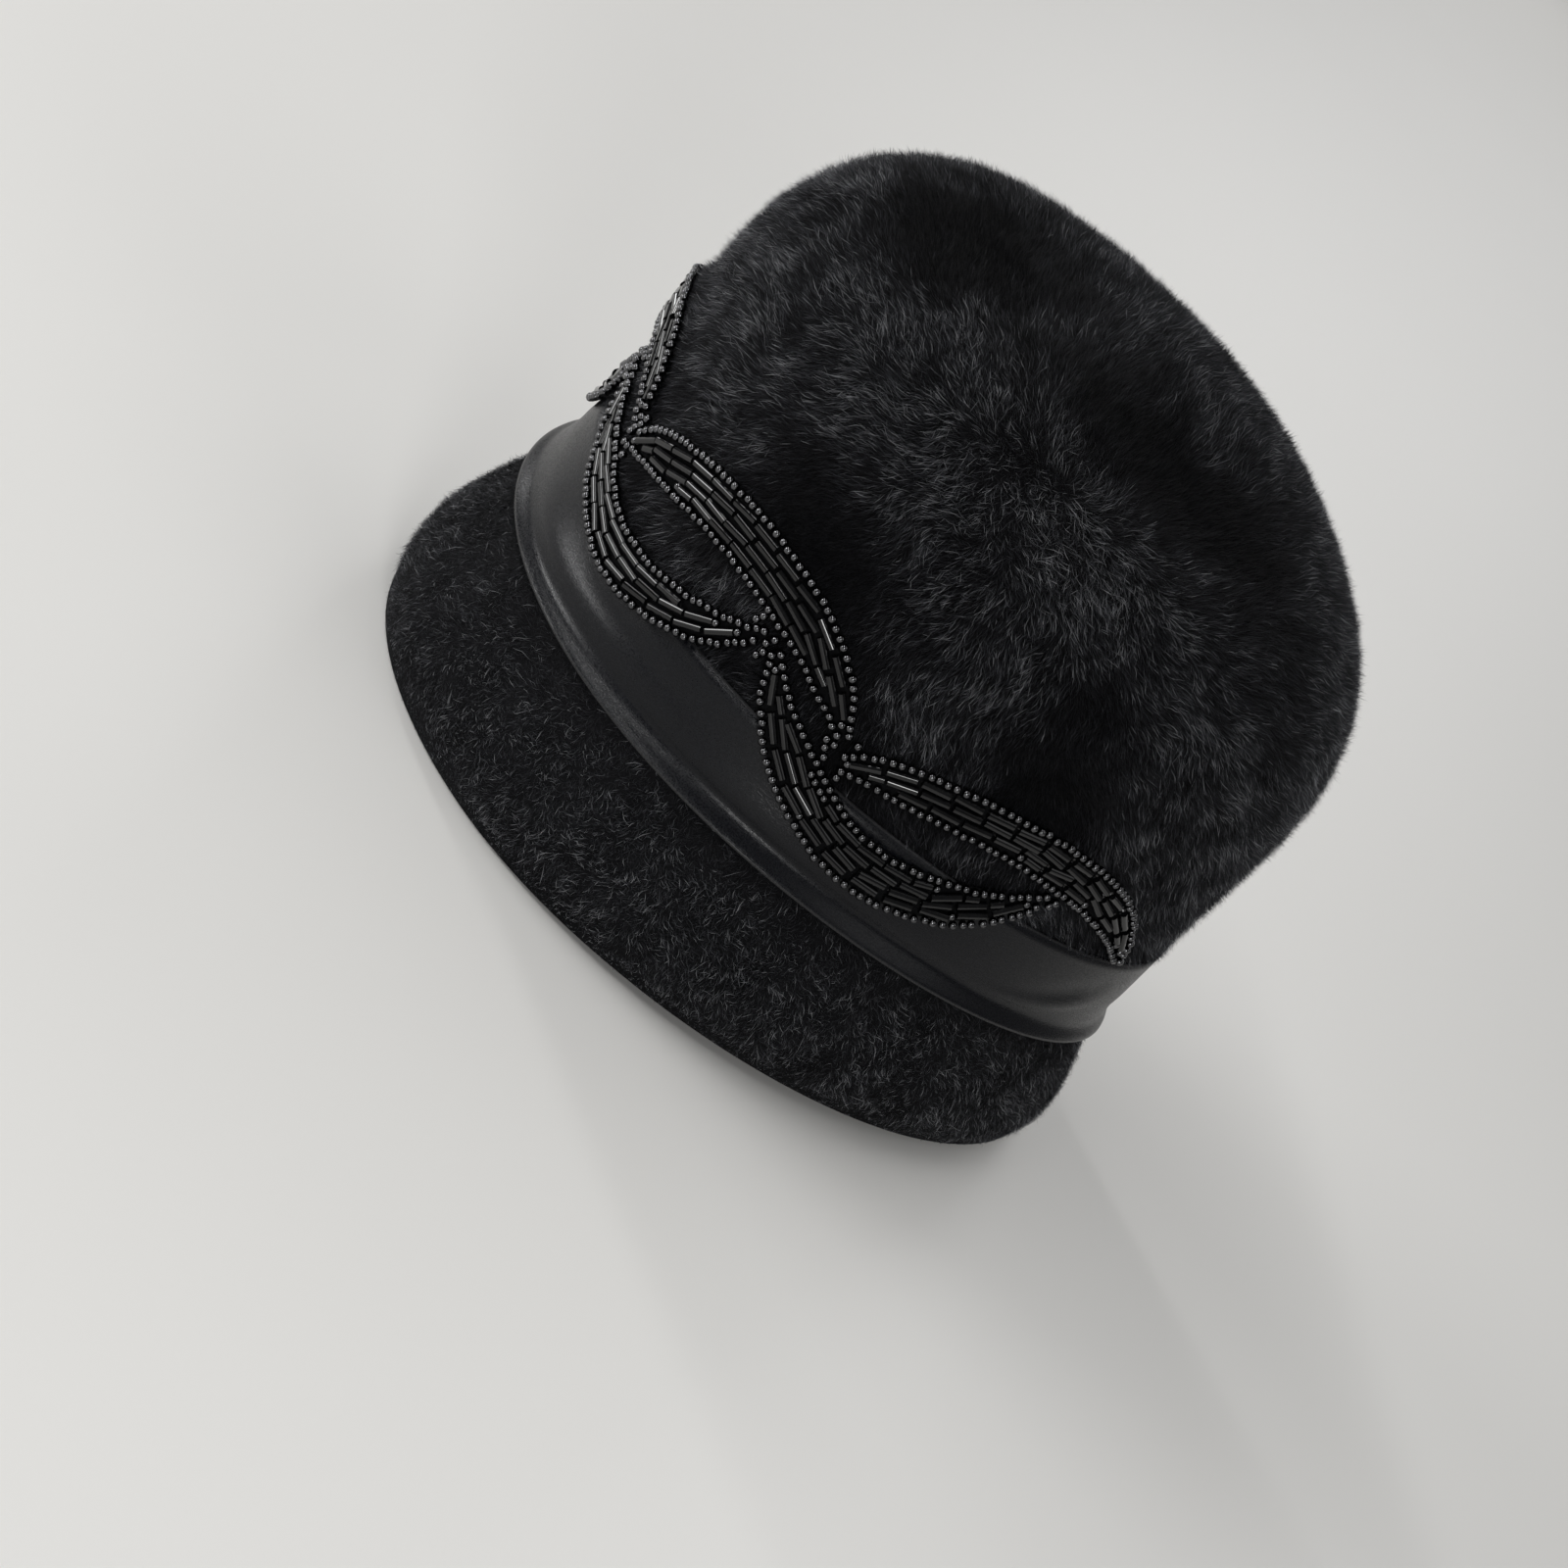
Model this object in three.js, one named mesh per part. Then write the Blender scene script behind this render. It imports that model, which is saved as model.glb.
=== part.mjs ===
// A tall soft toque hat with a turned-down brim: a crown of long-haired fur felt, a bell-shaped brim
// of shorter nap, a satin ribbon round the join, and a beaded trim of four arches and four scoops.
// Millimetres, +Z up. The front is -Y and the wearer's left is +X. The rim stands on z = 0.
//
// Every surface is a ring function of two things: the angle round the head, and "up", the height above
// the ribbon's lower edge. A negative "up" is on the brim.
import * as THREE from 'three';

// ---- the head band -------------------------------------------------------------------------------
const BAND_HALF_WIDTH = 87.8;     // outside of the ribbon, side to side
const BAND_HALF_DEPTH = 98.3;     // outside of the ribbon, front to back
const BAND_HEIGHT = 40.1;         // ribbon's lower edge above the floor, on average
const BAND_SIDE_TILT = -0.016;    // worn a little down on the left
const BAND_BACK_TILT = -0.029;    // and a little down at the back
const BAND_SADDLE = 3.7;          // higher over the ears, lower at front and back
const RIBBON_WIDTH = 24.4;
const RIBBON_THICK = 1.0;
const RIBBON_TAPER = 1.9;         // the upper edge is drawn in by this much
const RIBBON_LIP = 0.45;          // the lower edge rolls outwards
const RIBBON_FOLD = 0.34;         // the deepest soft fold
const RIBBON_FOLD_MOST = 0.3;     // and the most that it may thin the solid
const GAP = 0.32;                 // between any two pieces

// ---- the crown -----------------------------------------------------------------------------------
const CROWN_HEIGHT = 103.5;       // from the ribbon's upper edge to the tip
const CROWN_SQUARENESS = 5.2;     // how late the side turns over into the tip
const CROWN_ROUNDNESS = 1.56;     // how broad the tip is
const CROWN_TUCK = 1.3;           // drawn in just above the ribbon
const CROWN_SPREAD = 0.023;       // share wider than the band at the shoulder
const CROWN_SHOULDER = 0.75;      // where up the crown that is reached
const CROWN_LEAN = { x: -2.0, y: -11.7 };  // the tip leans forward
const CROWN_NAP = 0.8;            // hair that stands past this solid
const CROWN_WALL = 3.0;           // felt with its laid pile
const CROWN_EDGE_WALL = 2.2;      // where it is pressed flat under the ribbon
const CROWN_EDGE = 3.0;           // the crown ends this far above the ribbon's lower edge
const CROWN_STEP_OUT = 1.5;       // above the ribbon, where the pile stands free of it
const CROWN_OUTER_RINGS = 17;
const CROWN_INNER_RINGS = 13;
const CROWN_POLE_RISE = 0.25;     // the pole over the mean of the last ring

// Soft dents (negative) and swellings (positive) of the crown, each a smooth hollow round a point.
const CROWN_DENTS = [
  { name: 'front_dip',     x: 4,   y: -60, z: 165, radius: 16, push: -4.6 },
  { name: 'front_ridge',   x: 34,  y: -78, z: 150, radius: 15, push: 1.6 },
  { name: 'tip_hollow',    x: 48,  y: -33, z: 158, radius: 15, push: -5.0 },
  { name: 'tip_swell',     x: 10,  y: 20,  z: 168, radius: 24, push: 2.0 },
  { name: 'edge_notch',    x: -20, y: -44, z: 168, radius: 11, push: -4.4 },
  { name: 'right_swell',   x: -46, y: -44, z: 158, radius: 16, push: 1.8 },
  { name: 'shoulder_dip',  x: 76,  y: -44, z: 132, radius: 13, push: -1.6 },
  { name: 'back_dip',      x: -30, y: 52,  z: 160, radius: 20, push: -2.6 },
  { name: 'left_low_dip',  x: 87,  y: 16,  z: 92,  radius: 13, push: -1.8 },
  { name: 'right_side_dip', x: -84, y: 10, z: 118, radius: 20, push: -2.4 },
];

// ---- the brim ------------------------------------------------------------------------------------
const RIM_HALF_WIDTH = 90.4;
const RIM_HALF_DEPTH = 108.2;
const RIM_BACK_SHIFT = 4.0;       // the rim flares more at the back
const RIM_SIDE_LIFT = 4.0;        // the rim is higher over the ears and flat at front and back
const RIM_FLAT = 0.12;            // share of the rim's curve that lies flat on the floor
const BRIM_BULGE = 4.0;           // the bell shape's swelling between ribbon and rim, fuller in front
const BRIM_FULLER_FRONT = 0.28;
const BRIM_WALL = 2.4;
const BRIM_HEM_THICK = 2.9;       // the rim's pressed edge
const BRIM_LEVELS = [0.04, 0.16, 0.3, 0.46, 0.62, 0.78, 0.9];  // shares of the way from ribbon to rim
const BRIM_TOP = -0.9;            // where the brim leaves the ribbon, below its lower edge
const BRIM_TUCK = -0.35;          // and how far in it starts
const RIM_EDGE_RISE = 1.3;        // the hem's rounded outer edge
const COLLAR_TOP = 14;            // the brim's collar reaches this far up inside the crown
const COLLAR_WALL = 2.0;
const COLLAR_EASE = 0.08;         // the collar's extra play inside the crown
const COLLAR_ROOT = 4.3;          // the brim's thickness where the collar turns up

const AROUND = 64;                // facets round the head

// ---- the beaded trim -----------------------------------------------------------------------------
const TRIM_THICK = 2.3;           // backing and beads together
const TRIM_SEAT = 0.36;           // over ribbon and felt
const TRIM_SHOULDER = 0.86;       // the strand's rounded edges, as a share of its width and thickness
const TRIM_STATIONS = 18;         // sections along a strand

// One arch, from end to end: how far along, how high over the line between its ends, how wide.
const ARCH_ROWS = [
  { along: 0.00, rise: 0.0,  width: 3.2 },
  { along: 0.055, rise: 3.2, width: 6.2 },
  { along: 0.12, rise: 6.0,  width: 9.6 },
  { along: 0.245, rise: 10.0, width: 11.6 },
  { along: 0.38, rise: 13.2, width: 12.2 },
  { along: 0.51, rise: 14.5, width: 12.4 },
  { along: 0.645, rise: 14.1, width: 12.2 },
  { along: 0.78, rise: 12.0, width: 11.2 },
  { along: 0.87, rise: 9.0,  width: 9.6 },
  { along: 0.94, rise: 5.4,  width: 7.2 },
  { along: 1.00, rise: 0.8,  width: 3.2 },
];
// One scoop, likewise, hanging below the line between its ends.
const SCOOP_ROWS = [
  { along: 0.00, rise: 0.0,   width: 3.0 },
  { along: 0.04, rise: -4.6,  width: 6.0 },
  { along: 0.09, rise: -8.7,  width: 8.6 },
  { along: 0.21, rise: -14.6, width: 11.6 },
  { along: 0.35, rise: -19.0, width: 12.0 },
  { along: 0.49, rise: -21.2, width: 12.4 },
  { along: 0.64, rise: -19.8, width: 12.4 },
  { along: 0.78, rise: -15.5, width: 11.6 },
  { along: 0.87, rise: -11.0, width: 9.6 },
  { along: 0.945, rise: -5.6, width: 6.6 },
  { along: 1.00, rise: 0.0,   width: 3.0 },
];
// Where each strand starts and ends round the head, in degrees from the wearer's left towards the
// back, the height of both its ends above the ribbon's lower edge, and its share of the bow and width.
function strand(rows, name, from, to, start, end, bow, wide) {
  return { name, rows, from, to, start, end, bow, wide };
}
const arch = (...values) => strand(ARCH_ROWS, ...values);
const scoop = (...values) => strand(SCOOP_ROWS, ...values);
const STRANDS = [
  //     name       from    to      start end   bow   wide
  arch('arch_a', -208.4, -154.6, 28.0, 29.6, 0.94, 0.94),
  arch('arch_b', -152.2, -99.0, 33.4, 37.6, 1.08, 0.94),
  arch('arch_c', -96.6, -41.9, 36.6, 33.8, 0.94, 0.94),
  arch('arch_d', -40.6, 16.8, 30.2, 25.6, 0.96, 0.92),
  scoop('scoop_a', -221.0, -170.2, 31.0, 33.4, 0.95, 0.95),
  scoop('scoop_b', -167.6, -115.6, 33.4, 39.4, 0.95, 0.95),
  scoop('scoop_c', -113.0, -58.6, 40.0, 39.0, 0.84, 0.84),
  scoop('scoop_d', -56.0, -5.2, 38.6, 33.8, 0.98, 0.97),
];

// ---- ring functions ------------------------------------------------------------------------------
const TAU = Math.PI * 2;
const rad = (deg) => deg * Math.PI / 180;
const mix = (a, b, t) => a + (b - a) * t;
const clamp01 = (t) => Math.min(1, Math.max(0, t));
const smooth = (t) => { const c = clamp01(t); return c * c * (3 - 2 * c); };

// The ribbon's outside, drawn in towards its upper edge, as an offset from the band's ellipse.
const ribbonOut = (up) => -RIBBON_TAPER * clamp01(up / RIBBON_WIDTH);

// The crown's outside, drawn in where it leaves the ribbon, as an offset likewise.
const crownOut = (up) => -CROWN_NAP - CROWN_TUCK * (1 - smooth((up - RIBBON_WIDTH) / (0.5 * CROWN_HEIGHT)));

// How much of the band's size is left at a height of the crown: it spreads, then turns in to the tip.
function crownScale(s) {
  const side = 1 + CROWN_SPREAD * Math.min(1, s / CROWN_SHOULDER) ** 1.3;
  return side * Math.max(0, 1 - s ** CROWN_SQUARENESS) ** (1 / CROWN_ROUNDNESS);
}

// A point of the band and crown. "out" is measured outwards from the ellipse.
function shellPoint(angle, up, out) {
  const s = clamp01((up - RIBBON_WIDTH) / CROWN_HEIGHT);
  const k = crownScale(s);
  const c = Math.cos(angle), n = Math.sin(angle);
  const shrink = Math.min(1, k * 1.6);
  const x = (BAND_HALF_WIDTH * k + out * shrink) * c + CROWN_LEAN.x * s;
  const y = (BAND_HALF_DEPTH * k + out * shrink) * n + CROWN_LEAN.y * s;
  const tilt = BAND_SIDE_TILT * x + BAND_BACK_TILT * y;
  const z = BAND_HEIGHT + up + tilt + BAND_SADDLE * (1 - s) * Math.cos(2 * angle);
  return new THREE.Vector3(x, y, z);
}

// The height of the rim's underside: flat at front and back, lifted over the ears.
function rimLift(angle) {
  const side = Math.cos(angle) ** 2;
  return RIM_SIDE_LIFT * Math.max(0, (side - RIM_FLAT) / (1 - RIM_FLAT)) ** 1.2;
}
function rimPoint(angle, out, above) {
  return new THREE.Vector3(
    (RIM_HALF_WIDTH + out) * Math.cos(angle),
    (RIM_HALF_DEPTH + out) * Math.sin(angle) + RIM_BACK_SHIFT,
    rimLift(angle) + above);
}

// A point of the brim: t is 0 at the ribbon and 1 at the rim, out as before.
function brimPoint(angle, t, out) {
  const high = shellPoint(angle, BRIM_TOP, BRIM_TUCK + out);
  const low = rimPoint(angle, out, RIM_EDGE_RISE);
  const p = high.lerp(low, t);
  const way = new THREE.Vector3(Math.cos(angle) * BAND_HALF_DEPTH, Math.sin(angle) * BAND_HALF_WIDTH, 0);
  const swell = BRIM_BULGE * (1 - BRIM_FULLER_FRONT * Math.sin(angle));
  return p.addScaledVector(way.normalize(), swell * Math.sin(Math.PI * t ** 1.5));
}

// ---- meshes --------------------------------------------------------------------------------------
const angles = Array.from({ length: AROUND }, (_, i) => TAU * i / AROUND);
const ring = (f) => angles.map(f);

// A closed skin over rings given in order. A ring of one point is a pole. "breaks" names ring pairs
// with no skin between them, and the last ring joins the first.
function skin(rings, breaks = []) {
  const position = [], index = [], first = [];
  for (const r of rings) {
    first.push(position.length / 3);
    for (const p of r) position.push(p.x, p.y, p.z);
  }
  for (let j = 0; j < rings.length; j++) {
    const k = (j + 1) % rings.length;
    if (breaks.includes(j)) continue;
    const a = rings[j].length, b = rings[k].length, n = Math.max(a, b);
    for (let i = 0; i < n; i++) {
      const i2 = (i + 1) % n;
      const p = first[j] + (a > 1 ? i : 0), q = first[j] + (a > 1 ? i2 : 0);
      const r = first[k] + (b > 1 ? i2 : 0), s = first[k] + (b > 1 ? i : 0);
      if (a > 1) index.push(p, q, r);
      if (b > 1) index.push(p, r, s);
    }
  }
  const g = new THREE.BufferGeometry();
  g.setAttribute('position', new THREE.Float32BufferAttribute(position, 3));
  g.setIndex(index);
  g.computeVertexNormals();
  return g;
}

function dented(p) {
  let move = 0;
  for (const d of CROWN_DENTS) {
    const r2 = (p.x - d.x) ** 2 + (p.y - d.y) ** 2 + (p.z - d.z) ** 2;
    move += d.push * Math.exp(-r2 / (2 * d.radius * d.radius));
  }
  return move;
}

// The crown's body, moved in by its dents and then by "deep" along its own normal.
function bodyPoint(angle, up, deep) {
  const at = (a, u) => shellPoint(a, u, crownOut(u));
  const step = 0.02, p = at(angle, up);
  const round = at(angle + step, up).sub(at(angle - step, up));
  const rise = at(angle, Math.min(up + 0.5, RIBBON_WIDTH + CROWN_HEIGHT - 0.01)).sub(at(angle, up - 0.5));
  const normal = round.cross(rise).normalize();
  return p.addScaledVector(normal, dented(p) - deep);
}

// Levels up the crown, spaced evenly along its curve from the ribbon to near the tip.
function crownLevels(count, last) {
  const steps = 2000, length = [0];
  const at = (i) => { const s = i / steps * last; return [crownScale(s) * 93, s * CROWN_HEIGHT]; };
  for (let i = 1; i <= steps; i++) {
    const a = at(i - 1), b = at(i);
    length.push(length[i - 1] + Math.hypot(b[0] - a[0], b[1] - a[1]));
  }
  const levels = [];
  for (let j = 1, i = 0; j <= count; j++) {
    const want = length[steps] * j / count;
    while (length[i] < want - 1e-9 && i < steps) i++;
    levels.push(RIBBON_WIDTH + i / steps * last * CROWN_HEIGHT);
  }
  return levels;
}

function crownGeometry() {
  const pressed = (up, deep) => ring((a) => shellPoint(a, up, ribbonOut(up) - RIBBON_THICK - GAP - deep));
  const levels = crownLevels(CROWN_OUTER_RINGS, 0.9985);
  const first = RIBBON_WIDTH + CROWN_STEP_OUT;
  const outer = [
    ...[CROWN_EDGE, COLLAR_TOP, RIBBON_WIDTH + GAP].map((u) => pressed(u, 0)),
    ring((a) => bodyPoint(a, first, 0)),
    ...levels.filter((u) => u > first + 2).map((u) => ring((a) => bodyPoint(a, u, 0))),
  ];
  const middle = (rings) => {
    const top = rings[rings.length - 1];
    return top.reduce((sum, p) => sum.add(p), new THREE.Vector3()).divideScalar(top.length);
  };
  const tip = middle(outer);
  tip.z += CROWN_POLE_RISE;
  const innerLevels = crownLevels(CROWN_INNER_RINGS, 0.99).filter((u) => u > RIBBON_WIDTH + 6);
  const inner = [
    ...[CROWN_EDGE, COLLAR_TOP, RIBBON_WIDTH + GAP].map((u) => pressed(u, CROWN_EDGE_WALL)),
    ...innerLevels.map((u) => ring((a) => bodyPoint(a, u, CROWN_WALL))),
  ];
  const roof = middle(inner);
  roof.z += CROWN_POLE_RISE;
  const rings = [...outer, [tip], [roof], ...inner.reverse()];
  return skin(rings, [outer.length]);
}

function brimGeometry() {
  const shoulder = CROWN_EDGE - GAP;
  const under = (up) => ribbonOut(up) - RIBBON_THICK - GAP;
  const collarOut = (up) => under(up) - CROWN_EDGE_WALL - GAP - COLLAR_EASE;
  const insideLevels = [...BRIM_LEVELS].reverse().filter((t) => t > 0.1 && t < 0.85);
  const rings = [
    // inside, from the rim up
    ring((a) => rimPoint(a, -BRIM_HEM_THICK, 1.0)),
    ...insideLevels.map((t) => ring((a) => brimPoint(a, t, -BRIM_WALL))),
    ring((a) => shellPoint(a, 0.6, under(0) - COLLAR_ROOT)),
    ring((a) => shellPoint(a, COLLAR_TOP, collarOut(COLLAR_TOP) - COLLAR_WALL)),
    // over the collar and out from under the crown's edge
    ring((a) => shellPoint(a, COLLAR_TOP, collarOut(COLLAR_TOP))),
    ring((a) => shellPoint(a, shoulder, collarOut(shoulder))),
    ring((a) => shellPoint(a, shoulder, under(shoulder) - 0.25)),
    ring((a) => shellPoint(a, -0.35, under(0) - 0.05)),
    // outside, down to the rim and round its edge
    ...BRIM_LEVELS.map((t) => ring((a) => brimPoint(a, t, 0))),
    ring((a) => rimPoint(a, 0, RIM_EDGE_RISE)),
    ring((a) => rimPoint(a, -0.5, 0)),
    ring((a) => rimPoint(a, 0.4 - BRIM_HEM_THICK, 0)),
  ];
  rings.reverse();
  return skin(rings);
}

// Soft lengthwise folds of the satin, no deeper than half a millimetre, below the beaded trim.
function ribbonFold(angle, up) {
  const share = up / RIBBON_WIDTH;
  const lip = RIBBON_LIP * (1 - smooth(share / 0.16));
  const fold = Math.exp(-(((share - 0.27 - 0.07 * Math.sin(angle * 2 + 0.6)) / 0.09) ** 2));
  const where = 0.55 + 0.45 * Math.cos(angle + rad(125));
  return lip - RIBBON_FOLD * fold * where;
}

function ribbonGeometry() {
  const levels = [0, 0.1, 0.2, 0.33, 0.55, 1].map((t) => t * RIBBON_WIDTH);
  const folded = (a, up) => ribbonOut(up) + Math.max(-RIBBON_FOLD_MOST, ribbonFold(a, up));
  const outer = levels.map((u) => ring((a) => shellPoint(a, u, folded(a, u))));
  const backed = levels.filter((_, i) => i % 2 === 0 || i === levels.length - 1);
  const inner = backed.map((u) => ring((a) => shellPoint(a, u, ribbonOut(u) - RIBBON_THICK)));
  return skin([...outer, ...inner.reverse()]);
}

// A smooth value between the rows of a short table.
function tableValue(rows, t, key) {
  let i = 0;
  while (i < rows.length - 2 && t > rows[i + 1].along) i++;
  const p = rows[Math.max(0, i - 1)], a = rows[i];
  const b = rows[i + 1], q = rows[Math.min(rows.length - 1, i + 2)];
  const h = b.along - a.along, u = (t - a.along) / h;
  const slopeA = (b[key] - p[key]) / Math.max(1e-6, b.along - p.along) * h;
  const slopeB = (q[key] - a[key]) / Math.max(1e-6, q.along - a.along) * h;
  const u2 = u * u, u3 = u2 * u;
  return (2 * u3 - 3 * u2 + 1) * a[key] + (u3 - 2 * u2 + u) * slopeA
    + (-2 * u3 + 3 * u2) * b[key] + (u3 - u2) * slopeB;
}

// What the trim lies on: the ribbon, then a gentle slope to the crown above it.
function trimPoint(angle, up, above) {
  const onRibbon = shellPoint(angle, up, ribbonOut(Math.min(up, RIBBON_WIDTH)) + above);
  if (up <= RIBBON_WIDTH + 1) return onRibbon;
  const onCrown = shellPoint(angle, up, crownOut(up) + above);
  return onRibbon.lerp(onCrown, smooth((up - RIBBON_WIDTH - 1) / 7));
}

function strandGeometry(strand) {
  const rows = strand.rows;
  const centre = (t) => ({
    angle: rad(mix(strand.from, strand.to, t)),
    up: mix(strand.start, strand.end, t) + strand.bow * tableValue(rows, t, 'rise'),
  });
  const mean = (BAND_HALF_WIDTH + BAND_HALF_DEPTH) / 2;
  const stations = TRIM_STATIONS, sections = [];
  // Evenly spaced along the strand's own length.
  const fine = 400, run = [0];
  for (let i = 1; i <= fine; i++) {
    const a = centre((i - 1) / fine), b = centre(i / fine);
    run.push(run[i - 1] + Math.hypot((b.angle - a.angle) * mean, b.up - a.up));
  }
  for (let j = 0, i = 0; j <= stations; j++) {
    while (run[i] < run[fine] * j / stations - 1e-9 && i < fine) i++;
    const t = i / fine, c = centre(t);
    const a = centre(Math.max(0, t - 0.01)), b = centre(Math.min(1, t + 0.01));
    const along = new THREE.Vector2((b.angle - a.angle) * mean, b.up - a.up).normalize();
    const half = strand.wide * tableValue(rows, t, 'width') / 2;
    const place = (side, above) => trimPoint(c.angle - along.y * side / mean, c.up + along.x * side, above);
    const across = [-1, -0.5, 0, 0.5, 1];
    const low = across.map((k) => place(k * half, TRIM_SEAT));
    const top = (k) => TRIM_SEAT + TRIM_THICK * (Math.abs(k) > 0.5 ? TRIM_SHOULDER : 1);
    const high = [TRIM_SHOULDER, 0.3, -0.3, -TRIM_SHOULDER].map((k) => place(k * half, top(k)));
    sections.push([...low, ...high]);
  }
  const position = [], index = [], m = sections[0].length;
  for (const s of sections) for (const p of s) position.push(p.x, p.y, p.z);
  for (let j = 0; j < stations; j++) {
    for (let i = 0; i < m; i++) {
      const k = (i + 1) % m, a = j * m + i, b = j * m + k, c = a + m, d = b + m;
      index.push(a, b, d, a, d, c);
    }
  }
  // Each end is closed by a fan from a point of its upper side, because its lower points are nearly in line.
  const apex = m - 3;
  for (const [j, way] of [[0, -1], [stations, 1]]) {
    for (let i = 1; i < m - 1; i++) {
      const near = j * m + (apex + i) % m, far = j * m + (apex + i + 1) % m;
      if (way < 0) index.push(j * m + apex, far, near);
      else index.push(j * m + apex, near, far);
    }
  }
  const g = new THREE.BufferGeometry();
  g.setAttribute('position', new THREE.Float32BufferAttribute(position, 3));
  g.setIndex(index);
  g.computeVertexNormals();
  return g;
}

// A skin whose volume comes out negative is turned the right way round.
function facingOut(g) {
  const p = g.attributes.position, ix = g.index.array;
  const a = new THREE.Vector3(), b = new THREE.Vector3(), c = new THREE.Vector3();
  let volume = 0;
  for (let i = 0; i < ix.length; i += 3) {
    a.fromBufferAttribute(p, ix[i]); b.fromBufferAttribute(p, ix[i + 1]); c.fromBufferAttribute(p, ix[i + 2]);
    volume += a.dot(b.cross(c)) / 6;
  }
  if (volume < 0) {
    g.setIndex(Array.from(ix).reverse());
    g.computeVertexNormals();
  }
  return g;
}

// ---- the hat -------------------------------------------------------------------------------------
const hat = new THREE.Group();
hat.name = 'toque_hat';
function add(name, geometry, color, roughness) {
  const material = new THREE.MeshStandardMaterial({ color, roughness, metalness: 0 });
  const mesh = new THREE.Mesh(facingOut(geometry), material);
  mesh.name = name;
  hat.add(mesh);
}
add('crown', crownGeometry(), 0x17171a, 0.95);
add('brim', brimGeometry(), 0x141417, 0.95);
add('ribbon_band', ribbonGeometry(), 0x1b1b1f, 0.35);
for (const strand of STRANDS) add(strand.name, strandGeometry(strand), 0x26262b, 0.2);

// The origin is under the middle of the whole hat, on the surface that the rim stands on.
const box = new THREE.Box3().setFromObject(hat);
const middle = box.getCenter(new THREE.Vector3());
for (const mesh of hat.children) mesh.geometry.translate(-middle.x, -middle.y, -box.min.z);

export default hat;
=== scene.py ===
# %% [markdown]
# # A black fur-felt toque with a beaded trim
#
# This lesson dresses a finished frame of plain solids. The frame gives each piece its place and its
# size, in metres, +Z up, with the hat's front towards -Y and the wearer's left towards +X. Around it
# we make what such a hat is made of: two felts with their pile, a satin ribbon, and eight curved
# strands of glass beads sewn on a thin backing.

# %% Load the frame
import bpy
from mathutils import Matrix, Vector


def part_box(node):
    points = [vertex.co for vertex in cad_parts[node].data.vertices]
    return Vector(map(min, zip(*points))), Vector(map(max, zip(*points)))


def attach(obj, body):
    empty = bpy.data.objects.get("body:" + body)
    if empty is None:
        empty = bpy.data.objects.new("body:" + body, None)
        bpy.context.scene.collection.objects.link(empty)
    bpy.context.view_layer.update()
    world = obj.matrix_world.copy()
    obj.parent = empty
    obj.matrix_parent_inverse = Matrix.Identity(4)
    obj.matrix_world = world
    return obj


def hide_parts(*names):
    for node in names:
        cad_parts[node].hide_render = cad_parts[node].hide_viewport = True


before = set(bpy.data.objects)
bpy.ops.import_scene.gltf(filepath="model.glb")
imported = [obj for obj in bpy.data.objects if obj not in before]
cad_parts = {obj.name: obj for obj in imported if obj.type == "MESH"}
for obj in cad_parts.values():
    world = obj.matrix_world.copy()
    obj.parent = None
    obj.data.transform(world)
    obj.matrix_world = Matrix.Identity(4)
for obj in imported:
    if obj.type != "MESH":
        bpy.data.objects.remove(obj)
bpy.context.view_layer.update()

# %% Tools
import math
from contextlib import contextmanager
from typing import NamedTuple

import bpy
import numpy as np
from mathutils import Matrix, Vector
from mathutils.kdtree import KDTree

MM = 0.001
bpy.context.scene.tool_settings.mesh_select_mode = (False, False, True)
print("Blender", bpy.app.version_string, "and numpy", np.__version__)

# %% [markdown]
# ## Camera, floor and light
#
# The hat stands on its rim on a plain pale floor. The camera looks down on it from the wearer's left
# and is turned about its own axis, so that the hat leans across the picture as a worn hat does when
# the head is bowed. Depth of field stays off. The surround is kept dim, so that black stays black,
# and the lamps are soft boxes and long strips, because satin and glass show a lamp's own shape: a
# strip gives each tube bead a thin bright line. Two more lamps, behind and to the right, keep the far
# floor and the shadow from going dark.


# %% Camera
def add_object(name, data):
    """Adds an object with this data to the scene."""
    added = bpy.data.objects.new(name, data)
    bpy.context.scene.collection.objects.link(added)
    return added


CAMERA_AZIMUTH = 42.01
CAMERA_ELEVATION = 21.65
CAMERA_ROLL = 48.01
CAMERA_DISTANCE = 0.9
CAMERA_TARGET = Vector((15.1, -16.3, 30.7)) * MM
CAMERA_LENS = 90
camera_data = bpy.data.cameras.new("camera")
camera_data.lens = CAMERA_LENS
camera_data.clip_start = 0.05
camera_data.clip_end = 60
camera = add_object("camera", camera_data)
camera.matrix_world = (
    Matrix.Translation(CAMERA_TARGET)
    @ Matrix.Rotation(math.radians(CAMERA_AZIMUTH), 4, "Z")
    @ Matrix.Rotation(math.radians(90 - CAMERA_ELEVATION), 4, "X")
    @ Matrix.Rotation(math.radians(CAMERA_ROLL), 4, "Z")
    @ Matrix.Translation((0, 0, CAMERA_DISTANCE))
)
bpy.context.scene.camera = camera
print("camera at", [round(value, 3) for value in camera.matrix_world.translation])


# %% Making a material
def new_material(name):
    """A material with one Principled shader, its tree, and that shader."""
    material = bpy.data.materials.new(name)
    material.use_nodes = True
    return material, material.node_tree, material.node_tree.nodes["Principled BSDF"]


def cover(piece, material):
    """Gives a piece this material and no other."""
    piece.data.materials.clear()
    piece.data.materials.append(material)


def feed(tree, node, inputs):
    """Gives a node's inputs their values. A value that is another node's output is linked."""
    for name, value in inputs.items():
        if isinstance(value, bpy.types.NodeSocket):
            tree.links.new(value, node.inputs[name])
        else:
            node.inputs[name].default_value = value


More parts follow.
